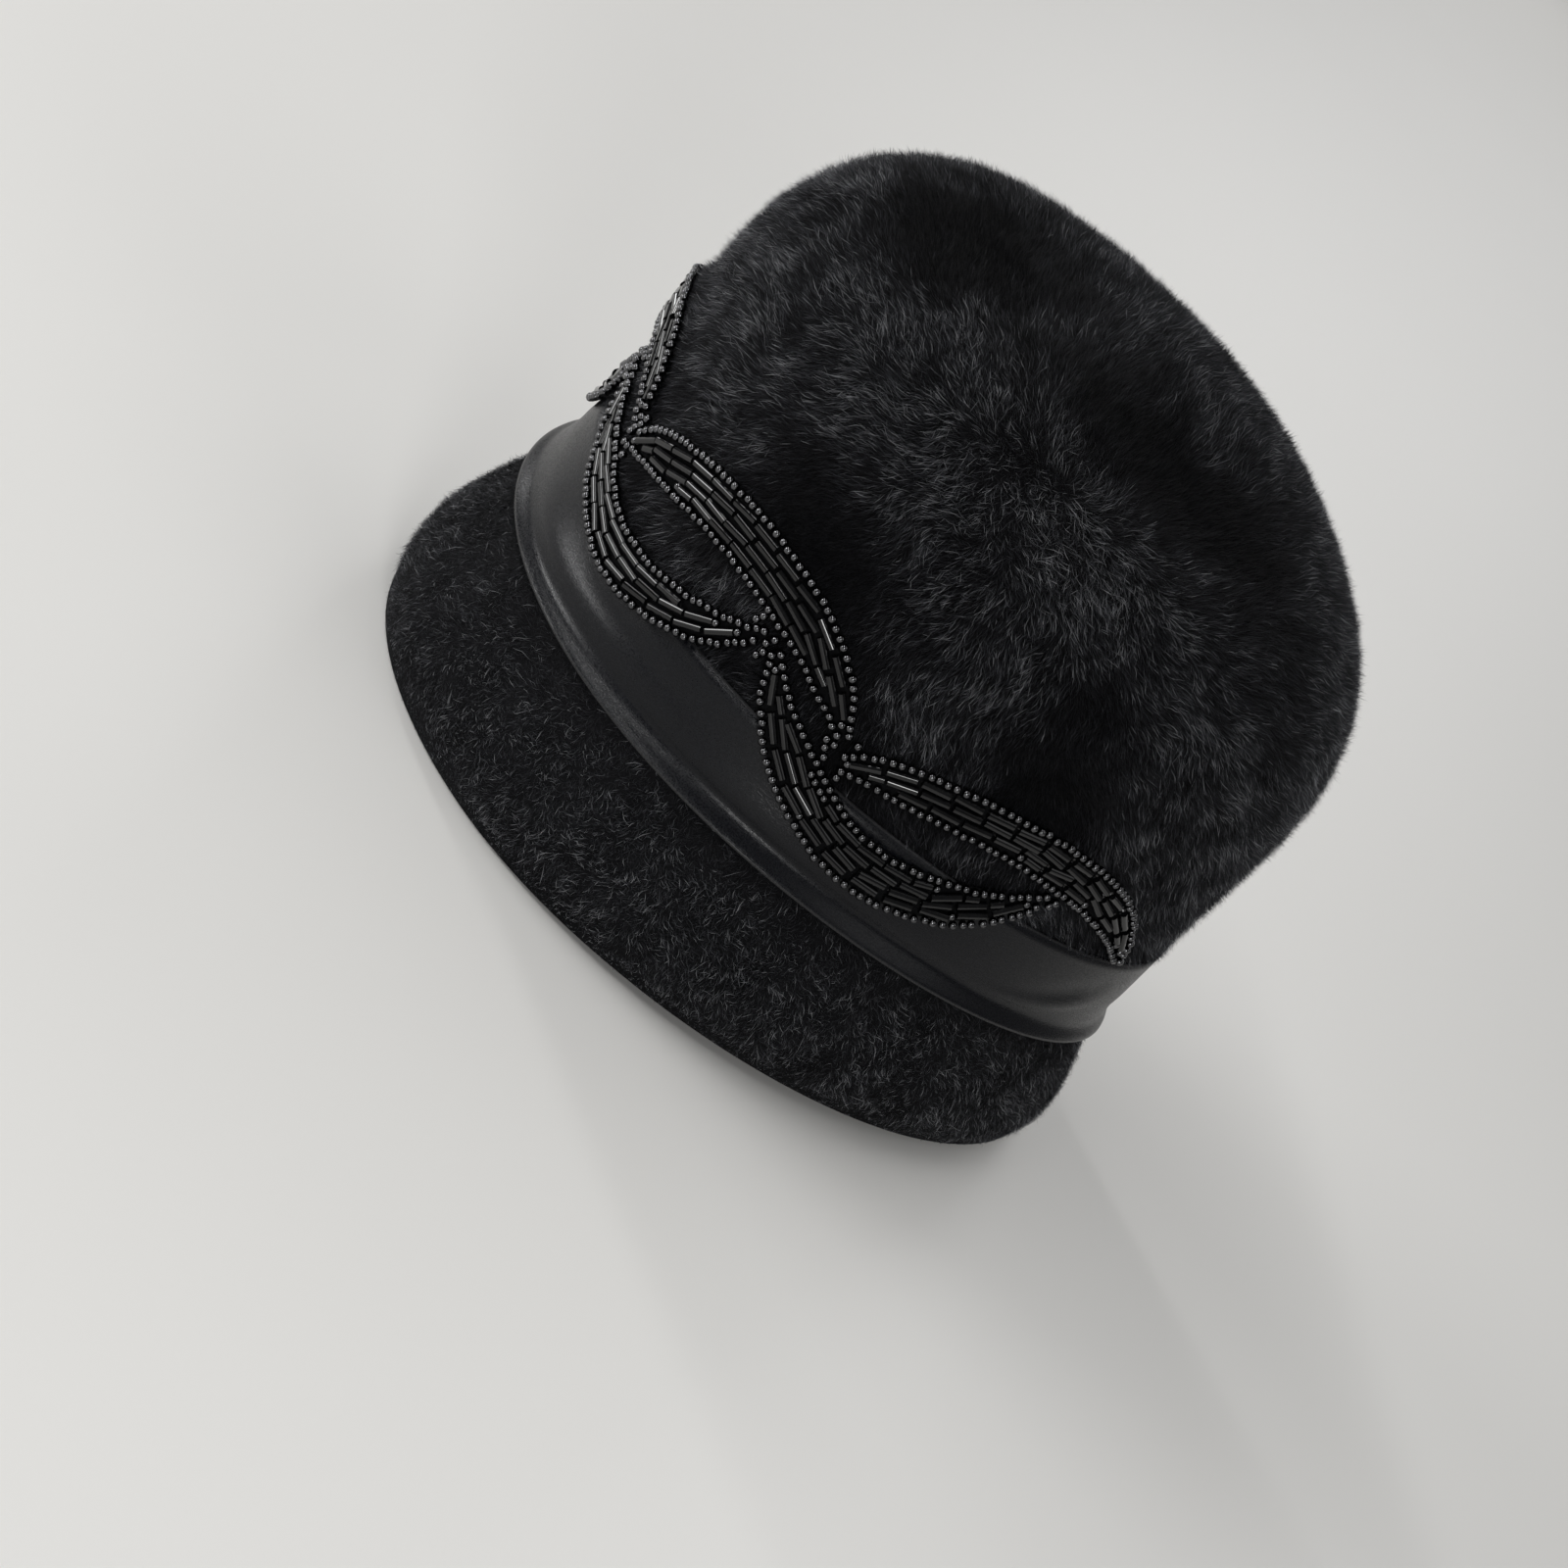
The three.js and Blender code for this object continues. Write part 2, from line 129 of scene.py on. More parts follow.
def add_node(tree, kind, inputs=None, **settings):
    """A node with its settings and inputs."""
    node = tree.nodes.new(kind)
    for name, value in settings.items():
        setattr(node, name, value)
    feed(tree, node, inputs or {})
    return node


print("material helpers ready")


# %% Patterns for a material
def ramp(tree, share, stops):
    """A colour by a share from 0 to 1, with a stop for each (place, grey or colour)."""
    node = add_node(tree, "ShaderNodeValToRGB", {"Fac": share})
    elements = node.color_ramp.elements
    while len(elements) < len(stops):
        elements.new(0.5)
    for element, (place, colour) in zip(elements, stops):
        element.position = place
        element.color = (*colour, 1) if hasattr(colour, "__len__") else (colour, colour, colour, 1)
    return node.outputs["Color"]


def noise(tree, place, size, detail, **more):
    """Soft noise with features of this size, in the units of the place."""
    inputs = {"Vector": place, "Scale": 1 / size, "Detail": detail, **more}
    return add_node(tree, "ShaderNodeTexNoise", inputs).outputs["Fac"]


def own_place(tree):
    """The place on the piece, in metres."""
    return add_node(tree, "ShaderNodeTexCoord").outputs["Object"]


print("pattern helpers ready")

# %% Floor
FLOOR_SIZE = 24
FLOOR_CLOUD = 1 / 1.2
FLOOR_TONES = [(0.3, (0.80, 0.79, 0.765)), (0.7, (0.83, 0.82, 0.795))]
bpy.ops.mesh.primitive_plane_add(size=FLOOR_SIZE)
floor = bpy.context.object
floor.name = "floor"
floor_material, tree, shader = new_material("pale_floor")
floor_tone = ramp(tree, noise(tree, own_place(tree), FLOOR_CLOUD, 3), FLOOR_TONES)
feed(tree, shader, {"Base Color": floor_tone, "Roughness": 0.55})
cover(floor, floor_material)
print("floor", FLOOR_SIZE, "m wide")

# %% Light
LAMPS = [
    # name, where from (metres), width, height, watts
    ("front_softbox", (-0.85, -1.35, 0.30), 0.7, 0.40, 13.0),
    ("camera_side_softbox", (1.30, -0.85, 0.50), 0.3, 0.5, 9.5),
    ("overhead_strip", (-0.35, -1.05, 1.15), 2.2, 0.10, 11.0),
    ("left_strip", (-1.45, -0.20, 0.80), 0.10, 1.4, 5.0),
    ("top_softbox", (-0.20, 0.60, 2.20), 1.6, 1.6, 5.0),
    ("back_softbox", (-0.60, 1.80, 1.20), 1.0, 0.8, 3.6),
    ("far_softbox", (-1.90, 2.10, 0.90), 0.8, 0.8, 8.0),
    ("right_softbox", (1.10, 0.50, 1.30), 1.0, 1.0, 2.8),
]
LAMP_AIM = Vector((0, 0, 0.08))
for name, place, width, height, watts in LAMPS:
    lamp_data = bpy.data.lights.new(name, "AREA")
    lamp_data.shape = "RECTANGLE"
    lamp_data.size = width
    lamp_data.size_y = height
    lamp_data.energy = watts
    lamp = add_object(name, lamp_data)
    lamp.location = place
    lamp.rotation_euler = (Vector(place) - LAMP_AIM).to_track_quat("Z", "Y").to_euler()
print(len(LAMPS), "soft lamps")

# %% Dim surround
SURROUND = 0.12
world = bpy.data.worlds.new("studio")
world.use_nodes = True
surround = {"Color": (1, 1, 1, 1), "Strength": SURROUND}
feed(world.node_tree, world.node_tree.nodes["Background"], surround)
bpy.context.scene.world = world
bpy.context.scene.view_settings.view_transform = "Standard"
print("surround at", SURROUND)

# %% [markdown]
# ## The head's own coordinates
#
# A hat is laid out by two measures: the angle round the head, from the wearer's left towards the
# back, and the height above the ribbon's lower edge. The functions below turn these into a place
# on the band or the crown, and back again. The trim's route and the lie of the pile both use them.

# %% Sizes of the band and crown
BAND_HALF_WIDTH = 87.8
BAND_HALF_DEPTH = 98.3
BAND_HEIGHT = 40.1
BAND_SIDE_TILT = -0.016
BAND_BACK_TILT = -0.029
BAND_SADDLE = 3.7
RIBBON_WIDTH = 24.4
RIBBON_TAPER = 1.9
CROWN_HEIGHT = 103.5
CROWN_SQUARENESS = 5.2
CROWN_ROUNDNESS = 1.56
CROWN_SPREAD = 0.023
CROWN_SHOULDER = 0.75
CROWN_SPREAD_CURVE = 1.3
TRIM_BLEND = 7
CROWN_TUCK = 1.3
CROWN_NAP = 0.8
CROWN_LEAN = (-2.0, -11.7)
HEAD_RADIUS = (BAND_HALF_WIDTH + BAND_HALF_DEPTH) / 2
ribbon_low, ribbon_high = (np.array(corner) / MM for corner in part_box("ribbon_band"))
HEAD_MIDDLE = (ribbon_low + ribbon_high) / 2
print("head middle, mm", HEAD_MIDDLE.round(2))


# %% From angle and height to a place
def smooth(share):
    """An even step from 0 to 1."""
    share = np.clip(share, 0, 1)
    return share * share * (3 - 2 * share)


def on_shell(angle, up, out):
    """Places on the band or crown, in metres. "out" is measured outwards from the band's ellipse."""
    share = np.clip((up - RIBBON_WIDTH) / CROWN_HEIGHT, 0, 0.9999)
    side = 1 + CROWN_SPREAD * np.minimum(1, share / CROWN_SHOULDER) ** CROWN_SPREAD_CURVE
    scale = side * (1 - share**CROWN_SQUARENESS) ** (1 / CROWN_ROUNDNESS)
    x = (BAND_HALF_WIDTH * scale + out) * np.cos(angle) + CROWN_LEAN[0] * share
    y = (BAND_HALF_DEPTH * scale + out) * np.sin(angle) + CROWN_LEAN[1] * share
    tilt = BAND_SIDE_TILT * x + BAND_BACK_TILT * y
    z = BAND_HEIGHT + up + tilt + BAND_SADDLE * (1 - share) * np.cos(2 * angle)
    return np.stack([x + HEAD_MIDDLE[0], y + HEAD_MIDDLE[1], z], -1) * MM


def on_trim_bed(angle, up, above):
    """Places over what the trim is sewn to: the ribbon, then the crown above it."""
    ribbon_out = -RIBBON_TAPER * np.clip(up / RIBBON_WIDTH, 0, 1)
    rise = smooth((up - RIBBON_WIDTH) / (0.5 * CROWN_HEIGHT))
    crown_out = -CROWN_NAP - CROWN_TUCK * (1 - rise)
    blend = smooth((up - RIBBON_WIDTH - 1) / TRIM_BLEND)
    return on_shell(angle, up, ribbon_out * (1 - blend) + crown_out * blend + above)


front_edge = on_shell(np.radians([-90.0]), np.zeros(1), 0)
print("the ribbon's lower edge in front, mm:", (front_edge / MM).round(1))


# %% From a place back to angle and height
def head_coordinates(places):
    """The angle and the height above the ribbon's lower edge of places near the band, in mm."""
    x, y, z = (places / MM).T
    x = x - HEAD_MIDDLE[0]
    y = y - HEAD_MIDDLE[1]
    share = np.zeros_like(x)
    for _ in range(3):
        angle = np.arctan2(
            (y - CROWN_LEAN[1] * share) / BAND_HALF_DEPTH,
            (x - CROWN_LEAN[0] * share) / BAND_HALF_WIDTH,
        )
        tilt = BAND_SIDE_TILT * x + BAND_BACK_TILT * y
        up = z - BAND_HEIGHT - tilt - BAND_SADDLE * (1 - share) * np.cos(2 * angle)
        share = np.clip((up - RIBBON_WIDTH) / CROWN_HEIGHT, 0, 1)
    return angle, up


check_angle, check_up = head_coordinates(on_shell(np.radians([-60.0]), np.array([50.0]), 0))
print("there and back:", np.degrees(check_angle).round(2), check_up.round(2))

# %% [markdown]
# ## The route of the trim
#
# The trim is a row of arches with a row of scoops hung between them, so that each pair encloses a
# leaf-shaped eye. Each strand is a curve on the hat with a width that swells in its middle. It is
# kept as a short table: how far along the strand, how high over the line between its ends, and how
# wide. The eight strands differ only in where they start and end and how much they bow.

# %% Two curves and eight strands
# share along, rise and width (millimetres)
ARCH_ROWS = np.array([
    (0.00, 0.0, 4.6),
    (0.055, 3.2, 7.6),
    (0.12, 6.0, 10.0),
    (0.245, 10.0, 11.6),
    (0.38, 13.4, 12.3),
    (0.51, 15.1, 12.7),
    (0.645, 15.1, 12.9),
    (0.78, 13.2, 12.2),
    (0.87, 10.0, 10.6),
    (0.94, 6.0, 7.8),
    (1.00, 0.8, 3.2),
])
SCOOP_ROWS = np.array([
    (0.00, 0.0, 3.0),
    (0.04, -4.6, 6.0),
    (0.09, -8.7, 8.6),
    (0.21, -14.6, 11.6),
    (0.35, -19.0, 12.0),
    (0.49, -21.2, 12.4),
    (0.64, -19.8, 12.4),
    (0.78, -15.5, 11.6),
    (0.87, -11.0, 9.6),
    (0.945, -5.6, 6.6),
    (1.00, 0.0, 3.0),
])
# name: rows, from and to (degrees), start and end height, share of the bow, share of the width
STRANDS = {
    "arch_a": (ARCH_ROWS, -208.4, -154.6, 28.0, 29.6, 0.94, 0.94),
    "arch_b": (ARCH_ROWS, -152.2, -99.0, 33.4, 37.6, 1.08, 0.94),
    "arch_c": (ARCH_ROWS, -96.6, -41.9, 36.6, 33.8, 0.95, 1.0),
    "arch_d": (ARCH_ROWS, -40.6, 16.8, 30.2, 25.6, 0.96, 0.92),
    "scoop_a": (SCOOP_ROWS, -221.0, -170.2, 31.0, 33.4, 0.95, 0.95),
    "scoop_b": (SCOOP_ROWS, -167.6, -115.6, 33.4, 39.4, 0.95, 0.95),
    "scoop_c": (SCOOP_ROWS, -113.0, -58.6, 40.0, 39.0, 0.84, 0.84),
    "scoop_d": (SCOOP_ROWS, -56.0, -5.2, 38.6, 33.8, 0.98, 0.97),
}
print(len(STRANDS), "strands")

# %% The strands laid flat
ROUTE_POINTS = 240


def unit(rows):
    """Each row at length one."""
    return rows / np.maximum(np.linalg.norm(rows, axis=1, keepdims=True), 1e-12)


def table_value(rows, along, column):
    """A smooth value between the rows of a table."""
    at, value = rows[:, 0], rows[:, column]
    slope = np.empty(len(at))
    slope[1:-1] = (value[2:] - value[:-2]) / (at[2:] - at[:-2])
    slope[0] = (value[1] - value[0]) / (at[1] - at[0])
    slope[-1] = (value[-1] - value[-2]) / (at[-1] - at[-2])
    i = np.clip(np.searchsorted(at, along) - 1, 0, len(at) - 2)
    step = at[i + 1] - at[i]
    u = (along - at[i]) / step
    return (
        (2 * u**3 - 3 * u**2 + 1) * value[i]
        + (u**3 - 2 * u**2 + u) * slope[i] * step
        + (3 * u**2 - 2 * u**3) * value[i + 1]
        + (u**3 - u**2) * slope[i + 1] * step
    )


def route_of(name):
    """A strand laid flat: rows of arc round the head, height, direction along (2) and half width."""
    rows, start_angle, end_angle, start, end, bow, wide = STRANDS[name]
    along = np.linspace(0, 1, ROUTE_POINTS)
    arc = np.radians(start_angle + (end_angle - start_angle) * along) * HEAD_RADIUS
    up = start + (end - start) * along + bow * table_value(rows, along, 1)
    direction = unit(np.stack([np.gradient(arc), np.gradient(up)], -1))
    half = wide * table_value(rows, along, 2) / 2
    return np.column_stack([arc, up, direction, half])


def steps_of(line):
    """The distance from each point of a flat line to the next."""
    return np.hypot(*np.diff(line[:, :2], axis=0).T)


routes = {name: route_of(name) for name in STRANDS}
for name, route in routes.items():
    print(name, "length, mm:", round(steps_of(route).sum()))

# %% How far from the trim
HEAD_ROUND = 2 * math.pi * HEAD_RADIUS


def trim_distance(angle, up):
    """How far places lie outside the nearest strand's edge, in mm. Negative is under a strand."""
    line = np.concatenate([route[::6] for route in routes.values()])
    nearest = np.full(len(angle), 99.0)
    close = np.nonzero((up > 2) & (up < 70))[0]
    for block in np.array_split(close, max(1, len(close) // 20000)):
        away = np.abs(angle[block, None] * HEAD_RADIUS - line[None, :, 0]) % HEAD_ROUND
        away = np.minimum(away, HEAD_ROUND - away)
        reach = np.hypot(away, up[block, None] - line[None, :, 1]) - line[None, :, 4]
        nearest[block] = reach.min(1)
    return nearest


within_eye = trim_distance(np.radians([-70.0]), np.array([38.0]))
print("from the trim within the front eye, mm:", within_eye.round(1))

# %% [markdown]
# ## Placing many small things
#
# Beads and hairs are each modelled once and set on points. A point carries three directions: which
# way the thing lies, which way is out from the hat, and its size along its own axes. Geometry Nodes
# puts a copy on each point, and the modifier is applied, so the result is one plain mesh.


# %% Points that carry directions
def move_vertices(mesh, places):
    """Gives a mesh's vertices new places."""
    mesh.vertices.foreach_set("co", places.astype(np.float32).ravel())
    mesh.update()


def point_cloud(name, places, values):
    """A mesh of loose points with a vector or a number of each name at each point."""
    mesh = bpy.data.meshes.new(name)
    mesh.vertices.add(len(places))
    move_vertices(mesh, places)
    for label, rows in values.items():
        kind, key = ("FLOAT_VECTOR", "vector") if rows.ndim > 1 else ("FLOAT", "value")
        layer = mesh.attributes.new(label, kind, "POINT")
        layer.data.foreach_set(key, rows.astype(np.float32).ravel())
    return add_object(name, mesh)


print("point clouds ready")


# %% Nodes that set a copy on each point
def copying_nodes(model):
    """Geometry Nodes that set a model on every point by its along, outward and size."""
    group = bpy.data.node_groups.new("set_" + model.name, "GeometryNodeTree")
    for way in ("INPUT", "OUTPUT"):
        group.interface.new_socket("Geometry", in_out=way, socket_type="NodeSocketGeometry")
    points = add_node(group, "NodeGroupInput").outputs[0]
    source = add_node(group, "GeometryNodeObjectInfo", {"Object": model}).outputs["Geometry"]
    axes = {}
    for label in ("along", "outward", "size"):
        kind = "GeometryNodeInputNamedAttribute"
        node = add_node(group, kind, {"Name": label}, data_type="FLOAT_VECTOR")
        axes[label] = node.outputs["Attribute"]
    turn = add_node(
        group, "FunctionNodeAxesToRotation", {0: axes["along"], 1: axes["outward"]},
        primary_axis="Y", secondary_axis="Z",
    )
    copies = add_node(
        group, "GeometryNodeInstanceOnPoints",
        {"Points": points, "Instance": source, "Rotation": turn.outputs[0], "Scale": axes["size"]},
    )
    realized = add_node(group, "GeometryNodeRealizeInstances", {0: copies.outputs[0]})
    add_node(group, "NodeGroupOutput", {0: realized.outputs[0]})
    return group


print("copying nodes ready")


# %% Setting and joining
def pick(*pieces):
    """Selects these pieces and nothing else, the last one active."""
    for other in bpy.context.selected_objects:
        other.select_set(False)
    for piece in pieces:
        piece.select_set(True)
    bpy.context.view_layer.objects.active = pieces[-1]


def finish_modifiers(piece):
    """Applies every modifier of a piece, in order."""
    pick(piece)
    for modifier in list(piece.modifiers):
        bpy.ops.object.modifier_apply(modifier=modifier.name)


def set_on_points(name, model, places, along, outward, size, numbers):
    """One mesh of copies of a model, a copy at each place. The numbers stay on the mesh."""
    vectors = {"along": along, "outward": outward, "size": size}
    piece = point_cloud(name, places, {**vectors, **numbers})
    modifier = piece.modifiers.new("copies", "NODES")
    modifier.node_group = copying_nodes(model)
    finish_modifiers(piece)
    for label in vectors:
        piece.data.attributes.remove(piece.data.attributes[label])
    return piece


def join(name, parts):
    """Joins parts into one piece."""
    pick(*parts)
    bpy.ops.object.join()
    piece = bpy.context.object
    piece.name = name
    piece.data.name = name
    return piece


print("setting and joining ready")

# %% [markdown]
# ## The two felts
#
# The crown and the brim are blocked felt, pressed over a wooden form while wet. Their true shapes,
# with the soft dents of the crown, are already in the frame, so each starts as a copy of its solid,
# with its loose triangles merged and turned back to quads. The frame's surface is the top of the
# laid pile, so the felt's outside is set in under it, less where the trim presses the pile down.
# The pile itself comes later, as real hairs.


# %% Reading and moving a mesh
def read(items, name, width=1, kind=np.float32):
    """One property of every item, as an array with a row for each."""
    rows = np.empty(len(items) * width, kind)
    items.foreach_get(name, rows)
    return rows.reshape(-1, width) if width > 1 else rows


def places_of(mesh):
    """The places of a mesh's vertices."""
    return read(mesh.vertices, "co", 3).astype(float)


def normals_of(mesh):
    """The outward direction at each vertex."""
    return read(mesh.vertex_normals, "vector", 3).astype(float)


def push_out(mesh, out):
    """Moves each vertex outwards by its own distance, in metres."""
    move_vertices(mesh, places_of(mesh) + normals_of(mesh) * out[:, None])


def triangles(piece):
    """How many triangles a piece has."""
    piece.data.calc_loop_triangles()
    return len(piece.data.loop_triangles)


print("faces in the crown's solid:", len(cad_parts["crown"].data.polygons))


# %% A copy of a solid
@contextmanager
def edit_mode(select=None):
    """Edit mode for the active piece, with the faces selected or deselected first if asked."""
    bpy.ops.object.mode_set(mode="EDIT")
    if select:
        bpy.ops.mesh.select_all(action=select)
    yield
    bpy.ops.object.mode_set(mode="OBJECT")


def copy_of(node, name):
    """A piece with the shape of a CAD node, its loose triangles merged into quads."""
    piece = add_object(name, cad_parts[node].data.copy())
    piece.data.materials.clear()
    pick(piece)
    with edit_mode("SELECT"):
        bpy.ops.mesh.remove_doubles(threshold=0.00001)
        bpy.ops.mesh.tris_convert_to_quads(face_threshold=3.1, shape_threshold=3.1)
    piece.data.name = name
    return piece


def subdivide_smooth(piece, levels):
    """Rounds a piece with Subdivision Surface and shades it smooth."""
    modifier = piece.modifiers.new("smooth", "SUBSURF")
    modifier.levels = levels
    modifier.render_levels = levels
    finish_modifiers(piece)
    bpy.ops.object.shade_smooth()


print("copies and subdivision ready")

# %% The crown's felt
CROWN_MIDDLE = Vector((0, 0, 95)) * MM
CROWN_SET_IN = 1.9 * MM
CROWN_STEP = 3.0
TRIM_PRESS = 4.0
PRESSED_SHARE = 0.25


def faces_outside(mesh, middle):
    """Which vertices are on the outside, seen from a point within the hollow."""
    away = places_of(mesh) - np.array(middle)
    return (away * normals_of(mesh)).sum(1) > 0


crown_felt = copy_of("crown", "crown_felt")
subdivide_smooth(crown_felt, 1)
crown_angle, crown_up = head_coordinates(places_of(crown_felt.data))
crown_free = smooth((crown_up - RIBBON_WIDTH) / CROWN_STEP)
crown_clear = smooth(trim_distance(crown_angle, crown_up) / TRIM_PRESS)
crown_free *= PRESSED_SHARE + (1 - PRESSED_SHARE) * crown_clear
crown_outside = faces_outside(crown_felt.data, CROWN_MIDDLE)
push_out(crown_felt.data, np.where(crown_outside, -CROWN_SET_IN * crown_free, 0))
print("crown felt", triangles(crown_felt), "triangles")

# %% The brim's felt
BRIM_SET_IN = 0.7 * MM
BRIM_STEP = 4.0
RIM_STEP = 6 * MM
brim_felt = copy_of("brim", "brim_felt")
subdivide_smooth(brim_felt, 1)
brim_places = places_of(brim_felt.data)
brim_round = unit(brim_places * (1, 1, 0))
brim_outside = (brim_round * normals_of(brim_felt.data)).sum(1) > 0.35
brim_up = head_coordinates(brim_places)[1]
brim_free = smooth(-(brim_up + 1) / BRIM_STEP) * smooth(brim_places[:, 2] / RIM_STEP)
push_out(brim_felt.data, np.where(brim_outside, -BRIM_SET_IN * brim_free, 0))
print("brim felt", triangles(brim_felt), "triangles")

# %% What the felts replace
for piece, node, slot in ((crown_felt, "crown", "fur_felt"), (brim_felt, "brim", "napped_felt")):
    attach(piece, "root")
    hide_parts(node)
    print(piece.name, "replaces", node)

# %% [markdown]
# ## The satin ribbon
#
# A satin ribbon 25 mm wide is wrapped round the join of the two felts. It is a thin sheet, so only
# the outer face of its solid is kept, refined, drawn into the soft lengthwise folds that a stretched
# ribbon has, and given its own thickness again. Its map runs round and across the ribbon, so that the
# weave can follow it.

# %% The ribbon's outer face
ribbon = copy_of("ribbon_band", "satin_ribbon")
pick(ribbon)
for polygon in ribbon.data.polygons:
    out = Vector((polygon.center.x, polygon.center.y - HEAD_MIDDLE[1] * MM, 0)).normalized()
    polygon.select = polygon.normal.dot(out) < 0.5
with edit_mode():
    bpy.ops.mesh.delete(type="FACE")
subdivide_smooth(ribbon, 2)
print("ribbon", len(ribbon.data.polygons), "faces on its outer side")

# %% Flare and folds
RIBBON_FLARE = 1.5
RIBBON_FLARE_REACH = 4.0
RIBBON_FOLDS = [
    # angle (degrees), height, how long (degrees), how broad, slant, how deep (mm)
    (-76, 13.4, 10, 1.3, 0.13, -0.80),
    (-73, 16.6, 9, 1.8, 0.10, 0.80),
    (-95, 8.5, 14, 4.2, 0.0, 1.15),
    (-50, 5.4, 34, 1.3, 0.0, -0.65),
    (-12, 4.8, 24, 1.3, 0.0, -0.60),
    (-44, 10.0, 26, 3.0, 0.03, 0.30),
    (10, 8.0, 14, 1.6, 0.20, 0.40),
    (20, 11.5, 8, 1.2, 0.40, 0.60),
    (17, 14.5, 8, 1.1, 0.40, -0.60),
    (50, 8.0, 26, 2.4, 0.04, -0.30),
    (110, 14.0, 28, 2.8, -0.05, -0.35),
    (160, 9.0, 30, 2.4, 0.06, 0.30),
    (215, 12.0, 26, 2.6, -0.06, -0.35),
]
ribbon_angle, ribbon_up = head_coordinates(places_of(ribbon.data))
ribbon_lift = RIBBON_FLARE * (1 - smooth(ribbon_up / RIBBON_FLARE_REACH))
for fold_angle, fold_up, fold_long, fold_broad, slant, deep in RIBBON_FOLDS:
    turned = (np.degrees(ribbon_angle) - fold_angle + 180) % 360 - 180
    across = ribbon_up - fold_up - slant * turned
    ribbon_lift += deep * np.exp(-((turned / fold_long) ** 2) - (across / fold_broad) ** 2)
ribbon_free = smooth(trim_distance(ribbon_angle, ribbon_up) / TRIM_PRESS)
ribbon_lift = np.where(ribbon_lift > 0, ribbon_lift * ribbon_free, ribbon_lift)
push_out(ribbon.data, ribbon_lift * MM)
print("folds from", ribbon_lift.min().round(2), "to", ribbon_lift.max().round(2), "mm")

# %% The ribbon's own map
ribbon_map = ribbon.data.uv_layers.new(name="along_ribbon")
corner_vertex = read(ribbon.data.loops, "vertex_index", kind=np.int32)
corner_count = read(ribbon.data.polygons, "loop_total", kind=np.int32)
corner_round = (ribbon_angle[corner_vertex] / (2 * math.pi)) % 1
first_corner = np.repeat(np.cumsum(corner_count) - corner_count, corner_count)
corner_round -= np.round(corner_round - corner_round[first_corner])
corner_across = ribbon_up[corner_vertex] / RIBBON_WIDTH
corner_rows = np.column_stack([corner_round, corner_across]).astype(np.float32)
ribbon_map.data.foreach_set("uv", corner_rows.ravel())
print("map across the ribbon from", corner_across.min().round(2), "to", corner_across.max().round(2))

# %% The ribbon's thickness
RIBBON_CLOTH = 0.45 * MM
solid = ribbon.modifiers.new("thickness", "SOLIDIFY")
solid.thickness = RIBBON_CLOTH
solid.offset = -1
finish_modifiers(ribbon)
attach(ribbon, "root")
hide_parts("ribbon_band")
print("ribbon", triangles(ribbon), "triangles")

# %% [markdown]
# ## The strands: backing and beads
#
# Each strand is beads sewn to a thin strip of black cloth. Tube beads lie in lanes along the strand,
# staggered like bricks, as many lanes as its width can hold, and round beads edge both sides and
# crowd together at the tips. The backing is a copy of the strand's solid, pressed down to its own
# thickness. One tube bead and one round bead are modelled, and every other is a copy.

# %% Tube bead
TUBE_LENGTH = 6.7
TUBE_RADIUS = 0.95
TUBE_SIDES = 10
TUBE_RIM = 0.34
TUBE_DISH = 0.3


def bead_tube():
    """A tube bead lying along Y: smooth glass, cut square and hollowed at its ends."""
    bpy.ops.mesh.primitive_cylinder_add(
        vertices=TUBE_SIDES,
        radius=TUBE_RADIUS * MM,
        depth=TUBE_LENGTH * MM,
        rotation=(math.pi / 2, 0, 0),
    )
    bead = bpy.context.object
    bead.name = "tube_bead"
    bpy.ops.object.transform_apply(rotation=True)
    with edit_mode("DESELECT"):
        pass
    for polygon in bead.data.polygons:
        polygon.select = abs(polygon.normal.y) > 0.99
    with edit_mode():
        bpy.ops.mesh.inset(thickness=TUBE_RIM * MM)
        shrink = (1, 1 - 2 * TUBE_DISH / TUBE_LENGTH, 1)
        bpy.ops.transform.resize(value=shrink, center_override=(0, 0, 0))
    bpy.ops.object.shade_smooth_by_angle(angle=math.radians(40))
    return bead


pick(crown_felt)
tube_bead = bead_tube()
print("faces of a tube bead:", len(tube_bead.data.polygons))

# %% Round bead
ROUND_RADIUS = 1.04
ROUND_LENGTH = 0.92
ROUND_DISH = 0.5


def bead_round():
    """A round bead strung along Y, a little flat at its hole."""
    bpy.ops.mesh.primitive_uv_sphere_add(
        segments=8, ring_count=6, radius=ROUND_RADIUS * MM, rotation=(math.pi / 2, 0, 0)
    )
    bead = bpy.context.object
    bead.name = "round_bead"
    bpy.ops.object.transform_apply(rotation=True)
    for vertex in bead.data.vertices:
        vertex.co.y *= ROUND_LENGTH
        if abs(vertex.co.x) + abs(vertex.co.z) < 0.01 * MM:
            vertex.co.y *= ROUND_DISH
    bpy.ops.object.shade_smooth()
    return bead


round_bead = bead_round()
print("faces of a round bead:", len(round_bead.data.polygons))

# %% A strand and its lanes
LANE_PITCH = 2.1
LANE_ROUNDING = 0.12
WIDEST_PITCH = 2.4
TUBE_ROOM = 0.9
TUBE_GAP = 0.85
SHORTEST_TUBE = 3.4
STAGGER = (0.5, 0.7)
SEED_PITCH = 2.12
SEED_INSET = 0.68


